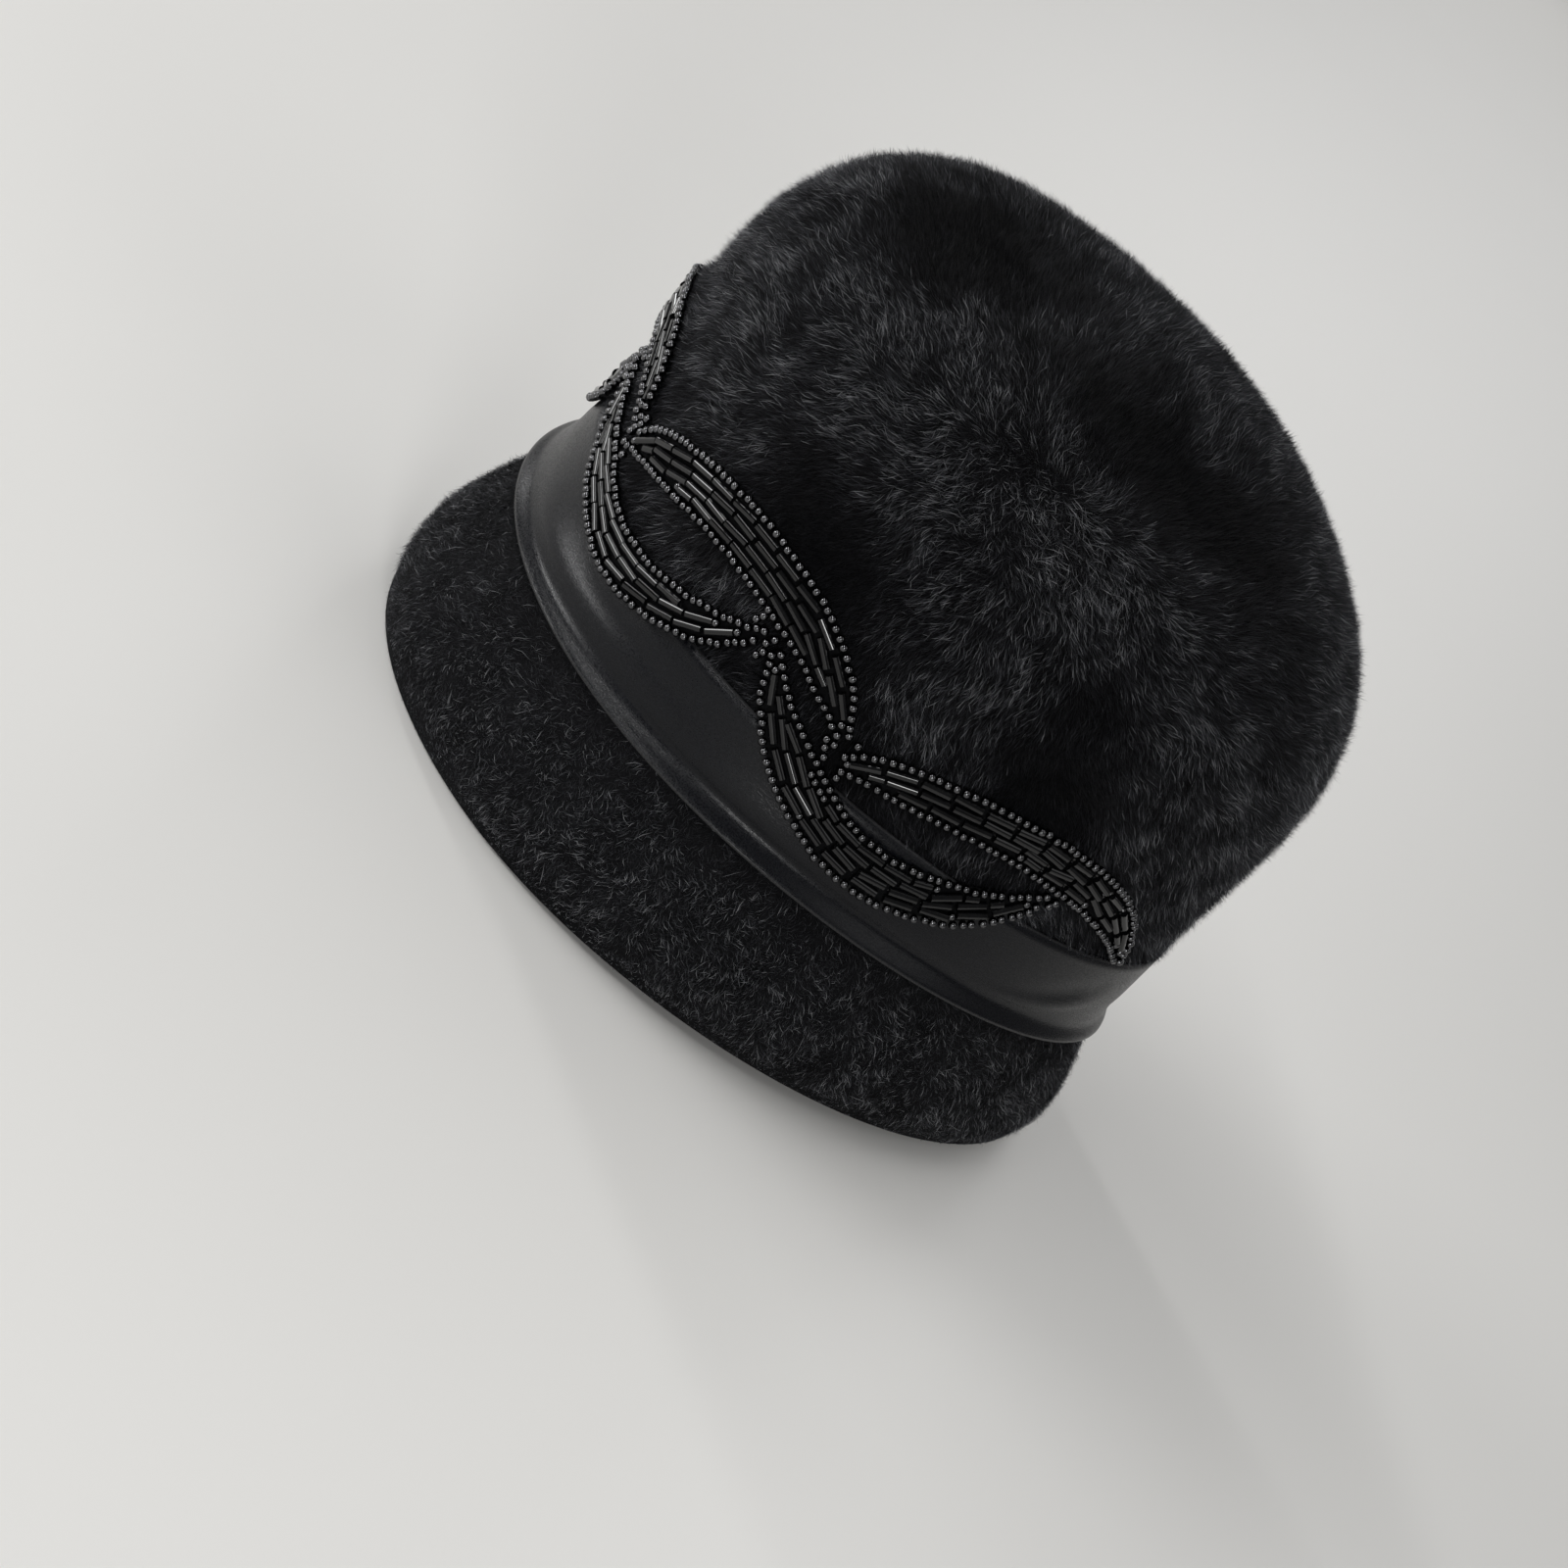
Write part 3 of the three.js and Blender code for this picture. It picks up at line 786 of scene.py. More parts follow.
class FlatStrand:
    """A strand laid flat, read at any distance along it."""

    def __init__(self, name):
        self.line = routes[name]
        self.convex = 1 if name.startswith("arch") else -1
        self.run = np.concatenate([[0], np.cumsum(steps_of(self.line))])
        self.inner = self.line[:, 4] - SEED_INSET - ROUND_RADIUS
        self.room = 2 * self.inner / LANE_PITCH

    def at(self, along, lane):
        """The place (arc, height) of a lane's middle."""
        arc, up, cos, sin = (np.interp(along, self.run, self.line[:, i]) for i in range(4))
        inner = np.interp(along, self.run, self.inner)
        lanes = max(lane + 1, int(np.interp(along, self.run, self.room) + LANE_ROUNDING))
        pitch = min(WIDEST_PITCH, 2 * inner / lanes)
        aside = self.convex * (inner - (lane + 0.5) * pitch)
        return np.array([arc - sin * aside, up + cos * aside])

    def lane_beads(self, lane, dice):
        """Tube beads of one lane, end to end: arc, height, direction and length of each."""
        fits = self.run[self.room >= lane + TUBE_ROOM]
        if len(fits) < 4:
            return []
        step = TUBE_LENGTH + TUBE_GAP
        place = fits[0]
        end = fits[-1]
        lengths = [TUBE_LENGTH * dice.uniform(*STAGGER)] if lane % 2 else []
        while place + sum(lengths) + len(lengths) * TUBE_GAP + step < end:
            lengths.append(TUBE_LENGTH)
        rest = end - place - sum(lengths) - len(lengths) * TUBE_GAP
        if rest > SHORTEST_TUBE:
            lengths.append(rest - TUBE_GAP)
            rest = 0
        beads = []
        for length in lengths:
            head = self.at(place, lane)
            tail = self.at(place + length, lane)
            middle = (head + tail) / 2
            direction = (tail - head) / np.hypot(*(tail - head))
            beads.append((*middle, *direction, length))
            place += length + TUBE_GAP + rest / len(lengths)
        return beads

    def edge_beads(self):
        """Round beads all round the strand."""
        arc, up, cos, sin, half = self.line.T
        edge = half - SEED_INSET
        near, far = (
            np.column_stack([arc - sin * edge * side, up + cos * edge * side, cos, sin])
            for side in (1, -1)
        )
        outline = np.concatenate([near, far[::-1]])
        lap = np.concatenate([[0], np.cumsum(steps_of(outline))])
        count = int(lap[-1] / SEED_PITCH)
        stops = (np.arange(count) + 0.5) * lap[-1] / count
        return [(*(np.interp(stop, lap, column) for column in outline.T), 0) for stop in stops]


widest = max(FlatStrand(name).room.max() for name in STRANDS)
print("lanes at the widest place:", widest.round(1))

# %% Keeping clear of other beads
CLOSEST_SEEDS = 1.78
SEED_TO_TUBE_END = 0.7
SEED_TO_TUBE_SIDE = 1.55


def is_clear(bead, others):
    """Whether a round bead keeps clear of the beads already there."""
    gaps = np.array(bead[:2]) - others[:, :2]
    lengthwise = np.abs((gaps * others[:, 2:4]).sum(1)) - others[:, 4] / 2
    crosswise = np.abs(gaps[:, 1] * others[:, 2] - gaps[:, 0] * others[:, 3])
    tubes = others[:, 4] > 0
    at_tube = (lengthwise < SEED_TO_TUBE_END) & (crosswise < SEED_TO_TUBE_SIDE)
    return not np.where(tubes, at_tube, np.hypot(*gaps.T) < CLOSEST_SEEDS).any()


seed = (0.0, 0.0, 1.0, 0.0, 0)
print("a round bead clear of another 2 mm away:", is_clear(seed, np.array([(2, 0, 1, 0, 0.0)])))

# %% The plan of a strand
MOST_LANES = 5
FILLER_STEP = 0.7
FILLER_ROOM = 0.55


def bead_plan(name, dice):
    """The beads of one strand laid flat. A round bead's length is 0."""
    strand = FlatStrand(name)
    beads = [bead for lane in range(MOST_LANES) for bead in strand.lane_beads(lane, dice)]
    fillers = []
    for along in np.arange(0.6, strand.run[-1], FILLER_STEP):
        for lane in range(MOST_LANES):
            if np.interp(along, strand.run, strand.room) > lane + FILLER_ROOM:
                fillers.append((*strand.at(along, lane), 1.0, 0.0, 0))
    for bead in strand.edge_beads() + fillers:
        if is_clear(bead, np.array(beads)):
            beads.append(bead)
    return np.array(beads)


dice = np.random.default_rng(7)
plans = {name: bead_plan(name, dice) for name in STRANDS}
print("beads in the strands:", sum(len(plan) for plan in plans.values()))

# %% The necks between strands
NECK_PITCH = 2.0
NECK_ROW = 1.8
NECK_HEIGHTS = (18, 62)
NECK_CLEAR = 0.2
NECK_WIDTH = 5.2
NECK_REACH = 4.6


def neck_beads(plans):
    """Round beads for the necks where two strands nearly touch, for the nearer of the two."""
    lines = [route[::4] for route in routes.values()]
    names = list(plans)
    laid = np.concatenate(list(plans.values()))
    low = min(line[0, 0] for line in lines)
    high = max(line[-1, 0] for line in lines)
    for row, up in enumerate(np.arange(*NECK_HEIGHTS, NECK_ROW)):
        for arc in np.arange(low, high, NECK_PITCH) + (row % 2) * NECK_PITCH / 2:
            away = [np.hypot(line[:, 0] - arc, line[:, 1] - up) for line in lines]
            gaps = [(distance - line[:, 4]).min() for distance, line in zip(away, lines)]
            near, next_near = np.argsort(gaps)[:2]
            bead = (arc, up, 1.0, 0.0, 0)
            to_tip = min(distance[[0, -1]].min() for distance in away)
            in_neck = NECK_CLEAR < gaps[near] < NECK_WIDTH - gaps[next_near]
            if in_neck and to_tip < NECK_REACH and is_clear(bead, laid):
                laid = np.vstack([laid, bead])
                plans[names[near]] = np.vstack([plans[names[near]], bead])


neck_beads(plans)
print("with those in the necks:", sum(len(plan) for plan in plans.values()))

# %% Sewing the beads on
TRIM_SEAT = 0.36
BACKING_THICK = 0.5
TUBE_LOOSE = 0.04
ROUND_LOOSE = 0.13
HEIGHT_LOOSE = 0.10
TURN_LOOSE = 0.045
ROLL_LOOSE = 0.5
SIZE_LOOSE = 0.025
SUNK = 0.88
TANGENT_STEP = 0.6


def lay_beads(name, plan, dice):
    """Sets a strand's beads on the hat."""
    arc, up, cos, sin, length = plan.T
    count = len(plan)
    loose = np.where(length > 0, TUBE_LOOSE, ROUND_LOOSE)
    arc = arc + dice.normal(0, 1, count) * loose
    up = up + dice.normal(0, 1, count) * loose
    angle = arc / HEAD_RADIUS
    radius = np.where(length > 0, TUBE_RADIUS, ROUND_RADIUS)
    above = TRIM_SEAT + BACKING_THICK + radius * SUNK + dice.normal(0, HEIGHT_LOOSE, count)
    place = on_trim_bed(angle, up, above)
    cos, sin = cos * TANGENT_STEP, sin * TANGENT_STEP
    ahead = on_trim_bed(angle + cos / HEAD_RADIUS, up + sin, above)
    aside = on_trim_bed(angle - sin / HEAD_RADIUS, up + cos, above)
    along = unit(ahead - place)
    outward = unit(np.cross(along, aside - place))
    along = unit(along + dice.normal(0, TURN_LOOSE, along.shape))
    roll = dice.uniform(-ROLL_LOOSE, ROLL_LOOSE, count)[:, None]
    outward = outward * np.cos(roll) + np.cross(along, outward) * np.sin(roll)
    parts = []
    for model, chosen in ((tube_bead, length > 0), (round_bead, length == 0)):
        grow = 1 + dice.normal(0, SIZE_LOOSE, (int(chosen.sum()), 3))
        if model is tube_bead:
            grow[:, 1] = length[chosen] / TUBE_LENGTH
        laid = (rows[chosen] for rows in (place, along, outward))
        kind = {"round": (length[chosen] == 0).astype(float)}
        parts.append(set_on_points(name + model.name, model, *laid, grow, kind))
    return join(name, parts)


print("beads can be sewn on")


# %% Backing
def press_backing(name):
    """The strip of cloth under a strand, from the strand's solid pressed flat."""
    piece = copy_of(name, name + "_backing")
    places = places_of(piece.data)
    angle, up = head_coordinates(places)
    bed = on_trim_bed(angle, up, 0)
    outward = unit(on_trim_bed(angle, up, 1) - bed)
    height = ((places - bed) * outward).sum(1) / MM
    pressed = np.minimum(height, TRIM_SEAT + BACKING_THICK)
    move_vertices(piece.data, places + outward * ((pressed - height) * MM)[:, None])
    subdivide_smooth(piece, 1)
    return piece


print("backing", BACKING_THICK, "mm thick")

# %% Eight strands of beadwork
bead_pieces = []
backing_pieces = []
for name, plan in plans.items():
    beads = lay_beads(name + "_beads", plan, dice)
    backing = press_backing(name)
    route = routes[name]
    bead_pieces.append(beads)
    backing_pieces.append(backing)
    for piece in (beads, backing):
        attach(piece, "root")
        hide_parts(name)
    tubes = int((plan[:, 4] > 0).sum())
    print(name, tubes, "tubes,", len(plan) - tubes, "rounds,", triangles(beads), "triangles")

# %% [markdown]
# ## The pile
#
# Fur felt of this kind keeps its hair, a short dense underfur and longer guard hairs over it. It is
# brushed away from one whorl on the left front shoulder, over the tip and down the sides. A guard
# hair here is a tapered strip with one bend, and an underfur hair a single blade, because there are
# hundreds of thousands of them. Their roots are scattered over the felt. Each takes the direction of
# the brushing there, a little off by chance, leans out of the felt, and falls in with the hairs
# round it, so that the pile makes small locks with dark partings between.


# %% Hair models
def hair_strip(name, sway, bent=True):
    """A hair along Y, one unit long and wide, drawn to a point, with a bend unless it is a blade."""
    bpy.ops.mesh.primitive_plane_add(size=1, location=(0, 0.5, 0))
    hair = bpy.context.object
    hair.name = name
    bpy.ops.object.transform_apply(location=True)
    if bent:
        with edit_mode("SELECT"):
            bpy.ops.mesh.bisect(plane_co=(0, 0.5, 0), plane_no=(0, 1, 0))
    # by the place along the hair: share of the width, bulge, share of the sway
    profile = {0.0: (1.0, 0.0, 0.0), 0.5: (0.8, 1.0, 1.0), 1.0: (0.0, 0.35, 0.3)}
    across = []
    for vertex in hair.data.vertices:
        narrow, bulge, drift = profile[round(vertex.co.y, 1)]
        across.append(vertex.co.x * narrow)
        vertex.co.x = across[-1] + sway * drift
        vertex.co.z = bulge if bent else 0
        vertex.co.y = 0.55 if round(vertex.co.y, 1) == 0.5 else vertex.co.y
    bake_map = hair.data.uv_layers[0]
    bake_map.name = "OFBake"
    for corner, loop in zip(bake_map.data, hair.data.loops):
        height = hair.data.vertices[loop.vertex_index].co.y
        corner.uv = (0.5 + 0.7 * across[loop.vertex_index], 0.1 + 0.8 * height)
    share = hair.data.attributes.new("share", "FLOAT", "POINT")
    share.data.foreach_set("value", [vertex.co.y for vertex in hair.data.vertices])
    with edit_mode("SELECT"):
        bpy.ops.mesh.remove_doubles(threshold=0.001)
    bpy.ops.object.shade_smooth()
    return hair


SWAYS = {"straight_hair": 0, "left_hair": 3, "right_hair": -3}
guard_models = [hair_strip(name, sway) for name, sway in SWAYS.items()]
under_models = [hair_strip("short_blade", 0, bent=False)]
print("triangles a hair:", triangles(guard_models[0]), "and", triangles(under_models[0]))


# %% Scattering the roots
def scatter(piece, keep, count, dice):
    """Random places over the chosen vertices' faces, evenly by area, with the direction out."""
    mesh = piece.data
    mesh.calc_loop_triangles()
    corners = read(mesh.loop_triangles, "vertices", 3, np.int32)
    corners = corners[keep[corners].all(1)]
    places = places_of(mesh)
    normals = normals_of(mesh)
    a, b, c = (places[corners[:, i]] for i in range(3))
    area = np.linalg.norm(np.cross(b - a, c - a), axis=1) / 2
    face = dice.choice(len(corners), count, p=area / area.sum())
    u, v = dice.random((2, count))
    over = u + v > 1
    u[over], v[over] = 1 - u[over], 1 - v[over]
    weights = np.stack([1 - u - v, u, v])
    found = sum(weights[i][:, None] * places[corners[face, i]] for i in range(3))
    outward = sum(weights[i][:, None] * normals[corners[face, i]] for i in range(3))
    return found, unit(outward)


print("roots can be scattered")


# %% Smooth chance
def ripple(places, wave, seed, count=9):
    """Smooth chance from about -1 to 1 that changes over a distance of wave metres."""
    dice = np.random.default_rng(seed)
    directions = unit(dice.normal(size=(count, 3)))
    lengths = wave * dice.uniform(0.6, 1.6, count)
    turns = places @ (directions * (2 * math.pi / lengths)[:, None]).T
    return np.sin(turns + dice.uniform(0, 2 * math.pi, count)).sum(1) / math.sqrt(count / 2) / 1.6


def ripples(places, waves):
    """A sum of ripples. Each has its strength, its wave in metres and its seed."""
    return sum(strength * ripple(places, wave, seed) for strength, wave, seed in waves)


print("a ripple at the hat's middle:", ripple(np.zeros((1, 3)), 0.02, 21).round(2))

# %% Brushing and locks
DOWN = np.array([0, 0, -1.0])


def flat_on(vectors, outward):
    """Vectors laid on the surface, at length one."""
    return unit(vectors - (vectors * outward).sum(1)[:, None] * outward)


def turned(along, outward, angle):
    """Directions on the surface turned by an angle."""
    side = np.cross(outward, along)
    return along * np.cos(angle)[:, None] + side * np.sin(angle)[:, None]


def gather(places, tips, every, pull):
    """Tips drawn towards the tip of the nearest leading hair, so that hairs fall in locks."""
    leaders = np.arange(0, len(places), every)
    tree = KDTree(len(leaders))
    for leader in leaders:
        tree.insert(places[leader], leader)
    tree.balance()
    nearest = np.array([tree.find(place)[1] for place in places])
    return tips + (tips[nearest] - tips) * pull[:, None]


slope = flat_on(DOWN, unit(np.array([(1.0, 0, 1)])))
print("down along a slope:", slope.round(2))


# %% A cell of the bake map for each hair
def bake_cells(piece, corners_per_hair):
    """Gives each hair its own cell of the piece's bake map."""
    layer = piece.data.uv_layers["OFBake"]
    rows = read(layer.data, "uv", 2)
    hair = np.arange(len(rows)) // corners_per_hair
    across = math.ceil(math.sqrt(len(rows) / corners_per_hair))
    rows[:, 0] = (rows[:, 0] + hair % across) / across
    rows[:, 1] = (rows[:, 1] + hair // across) / across
    layer.data.foreach_set("uv", rows.ravel())


print("bake cells ready")

# %% One layer of pile
FLOOR_CLEAR = 0.3 * MM
HAIR_ROLL = 1.1


class Layer(NamedTuple):
    """One layer of pile, in millimetres and degrees."""

    name: str
    models: list
    count: int
    loose: float  # how far off the brushing by chance, in radians
    length: float
    spread: tuple  # least and most share of the length
    lean: tuple  # middle and spread
    lean_ends: tuple  # least and most
    locks: tuple  # for each kind of lock: how many hairs to a leader, least and most pull
    thick: tuple  # least and most
    bulge: tuple  # least and most, as a share of the length
    fall: float = 0  # more lean where the pile is thin
    shade: float = 1
    most_full: float = 2  # fuller pile than this lifts the hairs no more
    stray: float = 0  # share of hairs that are longer and pale


def set_hairs(name, layer, roots, outward, brushed, length, lean, tone, dice):
    """One piece of pile. Each hair is laid by its brushing and lean, then drawn into its lock."""
    lean = np.radians(lean)[:, None]
    tips = roots + (brushed * np.cos(lean) + outward * np.sin(lean)) * (length * MM)[:, None]
    for every, least, most in layer.locks:
        tips = gather(roots, tips, every, dice.uniform(least, most, len(roots)))
    tips[:, 2] = np.maximum(tips[:, 2], FLOOR_CLEAR)
    along = tips - roots
    reach = np.linalg.norm(along, axis=1)
    along = unit(along)
    roll = dice.uniform(-HAIR_ROLL, HAIR_ROLL, len(roots))[:, None]
    facing = unit(outward * np.cos(roll) + np.cross(along, outward) * np.sin(roll))
    width = dice.uniform(*layer.thick, len(roots)) * MM
    size = np.column_stack([width, reach, reach * dice.uniform(*layer.bulge, len(roots))])
    number = dice.integers(0, len(layer.models), len(roots))
    parts = []
    for which, model in enumerate(layer.models):
        mine = number == which
        laid = (rows[mine] for rows in (roots, along, facing, size))
        parts.append(set_on_points(name + model.name, model, *laid, {"tone": tone[mine]}))
    piece = join(name, parts)
    bake_cells(piece, len(layer.models[0].data.loops))
    print(name, len(roots), "hairs,", triangles(piece), "triangles")
    return piece


print("a layer holds", ", ".join(Layer._fields))

# %% Where the crown's pile is full, with painted sheen and shade
PILE_PATCHES_WITH_PAINTED_LIGHT = [
    # middle (millimetres), radius, how much fuller or thinner the pile is (painted sheen and shade)
    ((-10, -84, 152), 12, -1.0),
    ((-17, -62, 158), 12, -0.9),
    ((25, -62, 157), 9, -0.7),
    ((39, -40, 156), 12, -1.1),
    ((48, -14, 157), 11, -0.9),
    ((79, -41, 120), 7, -0.7),
    ((31, -98, 105), 8, -0.6),
    ((45, -90, 103), 9, -0.8),
    ((82, -33, 97), 9, -1.0),
    ((60, -77, 120), 12, -0.3),
    ((79, 0, 133), 16, -0.25),
    ((28, -19, 164), 9, 0.5),
    ((24, -74, 153), 9, 0.5),
    ((5, -98, 141), 12, 0.35),
    ((46, -87, 132), 12, 0.4),
    ((62, -62, 139), 13, 0.45),
    ((70, -47, 137), 11, 0.3),
    ((-27, -89, 146), 9, 0.4),
    ((-46, -83, 92), 10, 0.8),
]
FUR_WAVES = [(0.16, 0.03, 31), (0.14, 0.012, 32)]


def fullness_with_painted_light(places):
    """How full the crown's pile is, about 1. In the hairs' tone, full patches are painted sheen and
    thin ones painted shade.
    """
    full = 1 + ripples(places, FUR_WAVES)
    for middle, radius, more in PILE_PATCHES_WITH_PAINTED_LIGHT:
        away = np.linalg.norm(places / MM - np.array(middle), axis=1)
        full += more * np.exp(-((away / radius) ** 2) / 2)
    return np.clip(full, 0.15, 1.8)


fullness = fullness_with_painted_light(places_of(crown_felt.data))
print("fullness from", fullness.min().round(2), "to", fullness.max().round(2))

# %% How the crown is brushed
WHORL = np.array((53, -66, 146)) * MM
WHORL_REACH = 20
BRUSH_WAVES = [(0.45, 0.05, 3), (0.50, 0.016, 4), (0.25, 0.007, 8)]


def brush_crown(roots, outward, loose, dice):
    """The crown's brushing: away from the whorl high up, and straight down near the ribbon."""
    up = head_coordinates(roots)[1]
    downward = flat_on(DOWN, outward)
    from_whorl = flat_on(roots - WHORL, outward)
    height = smooth((up - 10) / 70)[:, None]
    brushed = flat_on(from_whorl * (0.35 + height) + downward * (1.15 - height), outward)
    near_whorl = np.exp(-((np.linalg.norm(roots - WHORL, axis=1) / (WHORL_REACH * MM)) ** 2))
    wander = 0.7 * near_whorl + ripples(roots, BRUSH_WAVES) * (1 + near_whorl)
    wander += dice.normal(0, 1, len(roots)) * (loose + 0.5 * near_whorl)
    return turned(brushed, outward, wander)


print("whorl at", WHORL)

# %% Hairs cut at the beads
TRIM_OVERHANG = 0.9
SHORTEST_HAIR = 1.2


def clear_of_trim(roots, brushed, length):
    """Hair lengths cut where the hairs would lie over the beads."""
    for share in (1.0, 0.66, 0.33):
        angle, up = head_coordinates(roots + brushed * (length * share * MM)[:, None])
        over_beads = trim_distance(angle, up) < -TRIM_OVERHANG
        length = np.where(over_beads, length * share * 0.85, length)
    return np.maximum(length, SHORTEST_HAIR)


print("no hair is shorter than", SHORTEST_HAIR, "mm before it falls in a lock")

# %% The crown's two layers
CROWN_LAYERS = [
    Layer(
        "crown_guard_hair", guard_models, 112000,
        loose=0.35, length=4.3, spread=(0.55, 1.25), lean=(32, 11), lean_ends=(5, 80), fall=26,
        locks=((40, 0.0, 0.25), (9, 0.0, 0.42)), thick=(0.07, 0.12), bulge=(0.02, 0.10),
    ),
    Layer(
        "crown_under_hair", under_models, 250000,
        loose=0.6, length=3.4, spread=(0.6, 1.25), lean=(46, 13), lean_ends=(8, 85), fall=20,
        locks=((7, 0.0, 0.5),), thick=(0.09, 0.15), bulge=(0.1, 0.1),
    ),
]
print("roots to scatter:", [layer.count for layer in CROWN_LAYERS])

# %% The crown's pile
UNDER_BEADS = 0.3
THIN_AND_SHADED_AT_TRIM = 0.25
THIN_REACH = 7
CROWN_TONE = 0.565
CROWN_TONE_CHANCE = 0.28
TOP_PAINTED_SHADE = 0.10
SHORTEST_EDGE_HAIR = 2.0
dice = np.random.default_rng(11)
crown_keep = faces_outside(crown_felt.data, CROWN_MIDDLE) & (crown_up > RIBBON_WIDTH - 1.0)
crown_pile = []
for layer in CROWN_LAYERS:
    roots, outward = scatter(crown_felt, crown_keep, layer.count, dice)
    angle, up = head_coordinates(roots)
    from_trim = trim_distance(angle, up)
    kept = from_trim > -UNDER_BEADS
    found = (roots, outward, angle, up, from_trim)
    roots, outward, angle, up, from_trim = (rows[kept] for rows in found)
    # Beside the trim the pile dips: shorter, flatter hairs, and a darker tone that is painted shade.
    thin_and_shaded = THIN_AND_SHADED_AT_TRIM * (1 - smooth(from_trim / THIN_REACH))
    full = fullness_with_painted_light(roots) * (1 - thin_and_shaded)
    # The tone is painted light: painted sheen where the pile is full and painted shade where it is
    # thin.
    tone = CROWN_TONE + 0.10 * ripple(roots, 0.009, 6) + np.where(full > 1, 0.26, 0.52) * (full - 1)
    # Painted shade: hairs on the crown's top, turned up away from the light, are made darker.
    tone -= TOP_PAINTED_SHADE * smooth((outward[:, 2] - 0.7) / 0.25)
    chance = dice.normal(0, CROWN_TONE_CHANCE, len(roots)) * (0.4 + 0.6 * np.minimum(full, 1))
    tone = np.clip(tone + chance, 0, 1)
    brushed = brush_crown(roots, outward, layer.loose, dice)
    length = layer.length * (0.8 + 0.2 * full) * dice.uniform(*layer.spread, len(roots))
    lean = dice.normal(*layer.lean, len(roots)) + layer.fall * (1 - full)
    lean = np.clip(lean, *layer.lean_ends)
    edge_room = up - RIBBON_WIDTH + SHORTEST_EDGE_HAIR
    length = np.minimum(length, np.maximum(SHORTEST_EDGE_HAIR, edge_room))
    length = clear_of_trim(roots, brushed, length)
    for number, mine in enumerate(np.array_split(np.argsort(angle), 2), 1):
        laid = (rows[mine] for rows in (roots, outward, brushed, length, lean, tone))
        crown_pile.append(set_hairs(f"{layer.name}_{number}", layer, *laid, dice))

# %% What the crown's pile replaces
for piece in crown_pile:
    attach(piece, "root")
    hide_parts("crown")
print(len(crown_pile), "pieces of pile on the crown")

# %% [markdown]
# ## The brim's nap
#
# The brim's felt is shaved closer than the crown's. Its nap is short and matted, lies every way, and
# is shorter still along the edge, where a narrow zone is pressed smooth over a turned hem. A few
# stray hairs are longer and paler. The same hair models serve, only shorter and finer.

# %% How far from the brim's edge
RIM_SIDE_LIFT = 4.0
RIM_FLAT = 0.12


def rim_distance(places):
    """How far places on the brim are above its edge, in mm."""
    x, y, z = places.T
    cosine = np.cos(np.arctan2(y / 1.1, x))
    lift = RIM_SIDE_LIFT * np.maximum(0, (cosine**2 - RIM_FLAT) / (1 - RIM_FLAT)) ** 1.2
    return z / MM - lift


rim_gap = rim_distance(brim_places)
print("above the brim's edge, mm: from", rim_gap.min().round(1), "to", rim_gap.max().round(1))

# %% The brim's two layers
BRIM_LAYERS = [
    Layer(
        "brim_guard_hair", guard_models, 48000,
        loose=0.7, length=2.5, spread=(0.5, 1.35), lean=(24, 11), lean_ends=(2, 60), stray=0.012,
        locks=((8, 0.0, 0.35),), thick=(0.06, 0.11), bulge=(0.08, 0.26),
    ),
    Layer(
        "brim_underfur", under_models, 60000,
        loose=1.2, length=1.9, spread=(0.5, 1.3), lean=(35, 14), lean_ends=(5, 70), most_full=1.2,
        locks=((7, 0.0, 0.5),), thick=(0.10, 0.16), bulge=(0.1, 0.1), shade=0.8,
    ),
]
print("roots to scatter:", [layer.count for layer in BRIM_LAYERS])

# %% The brim's nap
RIM_ZONE = 5.0
NAP_WAVES = [(0.28, 0.014, 25), (0.2, 0.006, 26)]
NAP_BRUSH_WAVES = [(1.0, 0.02, 21), (0.9, 0.007, 22)]
BRIM_TONE = 0.665
BRIM_TONE_CHANCE = 0.20
RIM_PALER = 0.18
# Painted light: the brim's nap is made paler towards the wearer's left.
LEFT_PAINTED_LIGHT = 0.10
# Painted shade: the brim's nap is made darker close under the ribbon.
RIBBON_PAINTED_SHADE = 0.20
STRAY_LENGTH = 1.9
brim_keep = brim_outside & (brim_up < 1.0)
brim_nap = []
for layer in BRIM_LAYERS:
    roots, outward = scatter(brim_felt, brim_keep, layer.count, dice)
    pressed = 0.3 + 0.7 * smooth((rim_distance(roots) - 2) / RIM_ZONE)
    full = np.clip(1 + ripples(roots, NAP_WAVES), 0.4, 1.8) * pressed
    up = head_coordinates(roots)[1]
    tone = BRIM_TONE + 0.08 * ripple(roots, 0.008, 24) + 0.2 * (full / pressed - 1)
    tone += RIM_PALER * (1 - pressed)
    # The brim's tone holds painted light towards the left and painted shade under the ribbon.
    tone += LEFT_PAINTED_LIGHT * smooth(roots[:, 0] / 0.07) - RIBBON_PAINTED_SHADE * smooth((up + 14) / 14)
    chance = dice.normal(0, BRIM_TONE_CHANCE, len(roots)) * (0.4 + 0.6 * pressed)
    tone = np.clip(tone + chance, 0, 1)
    wander = ripples(roots, NAP_BRUSH_WAVES) + dice.normal(0, layer.loose, len(roots))
    brushed = turned(flat_on(DOWN, outward), outward, wander)
    longer = np.ones(len(roots))
    if layer.stray:
        stray = dice.random(len(roots)) < layer.stray
        longer[stray] = STRAY_LENGTH
        tone[stray] = 1
    length = layer.length * dice.uniform(*layer.spread, len(roots)) * pressed * longer
    lean = np.clip(dice.normal(*layer.lean, len(roots)), *layer.lean_ends)
    lean *= np.minimum(full, layer.most_full)
    tone *= layer.shade
    piece = set_hairs(layer.name, layer, roots, outward, brushed, length, lean, tone, dice)
    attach(piece, "root")
    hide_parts("brim")
    brim_nap.append(piece)
print(len(brim_nap), "pieces of nap on the brim")

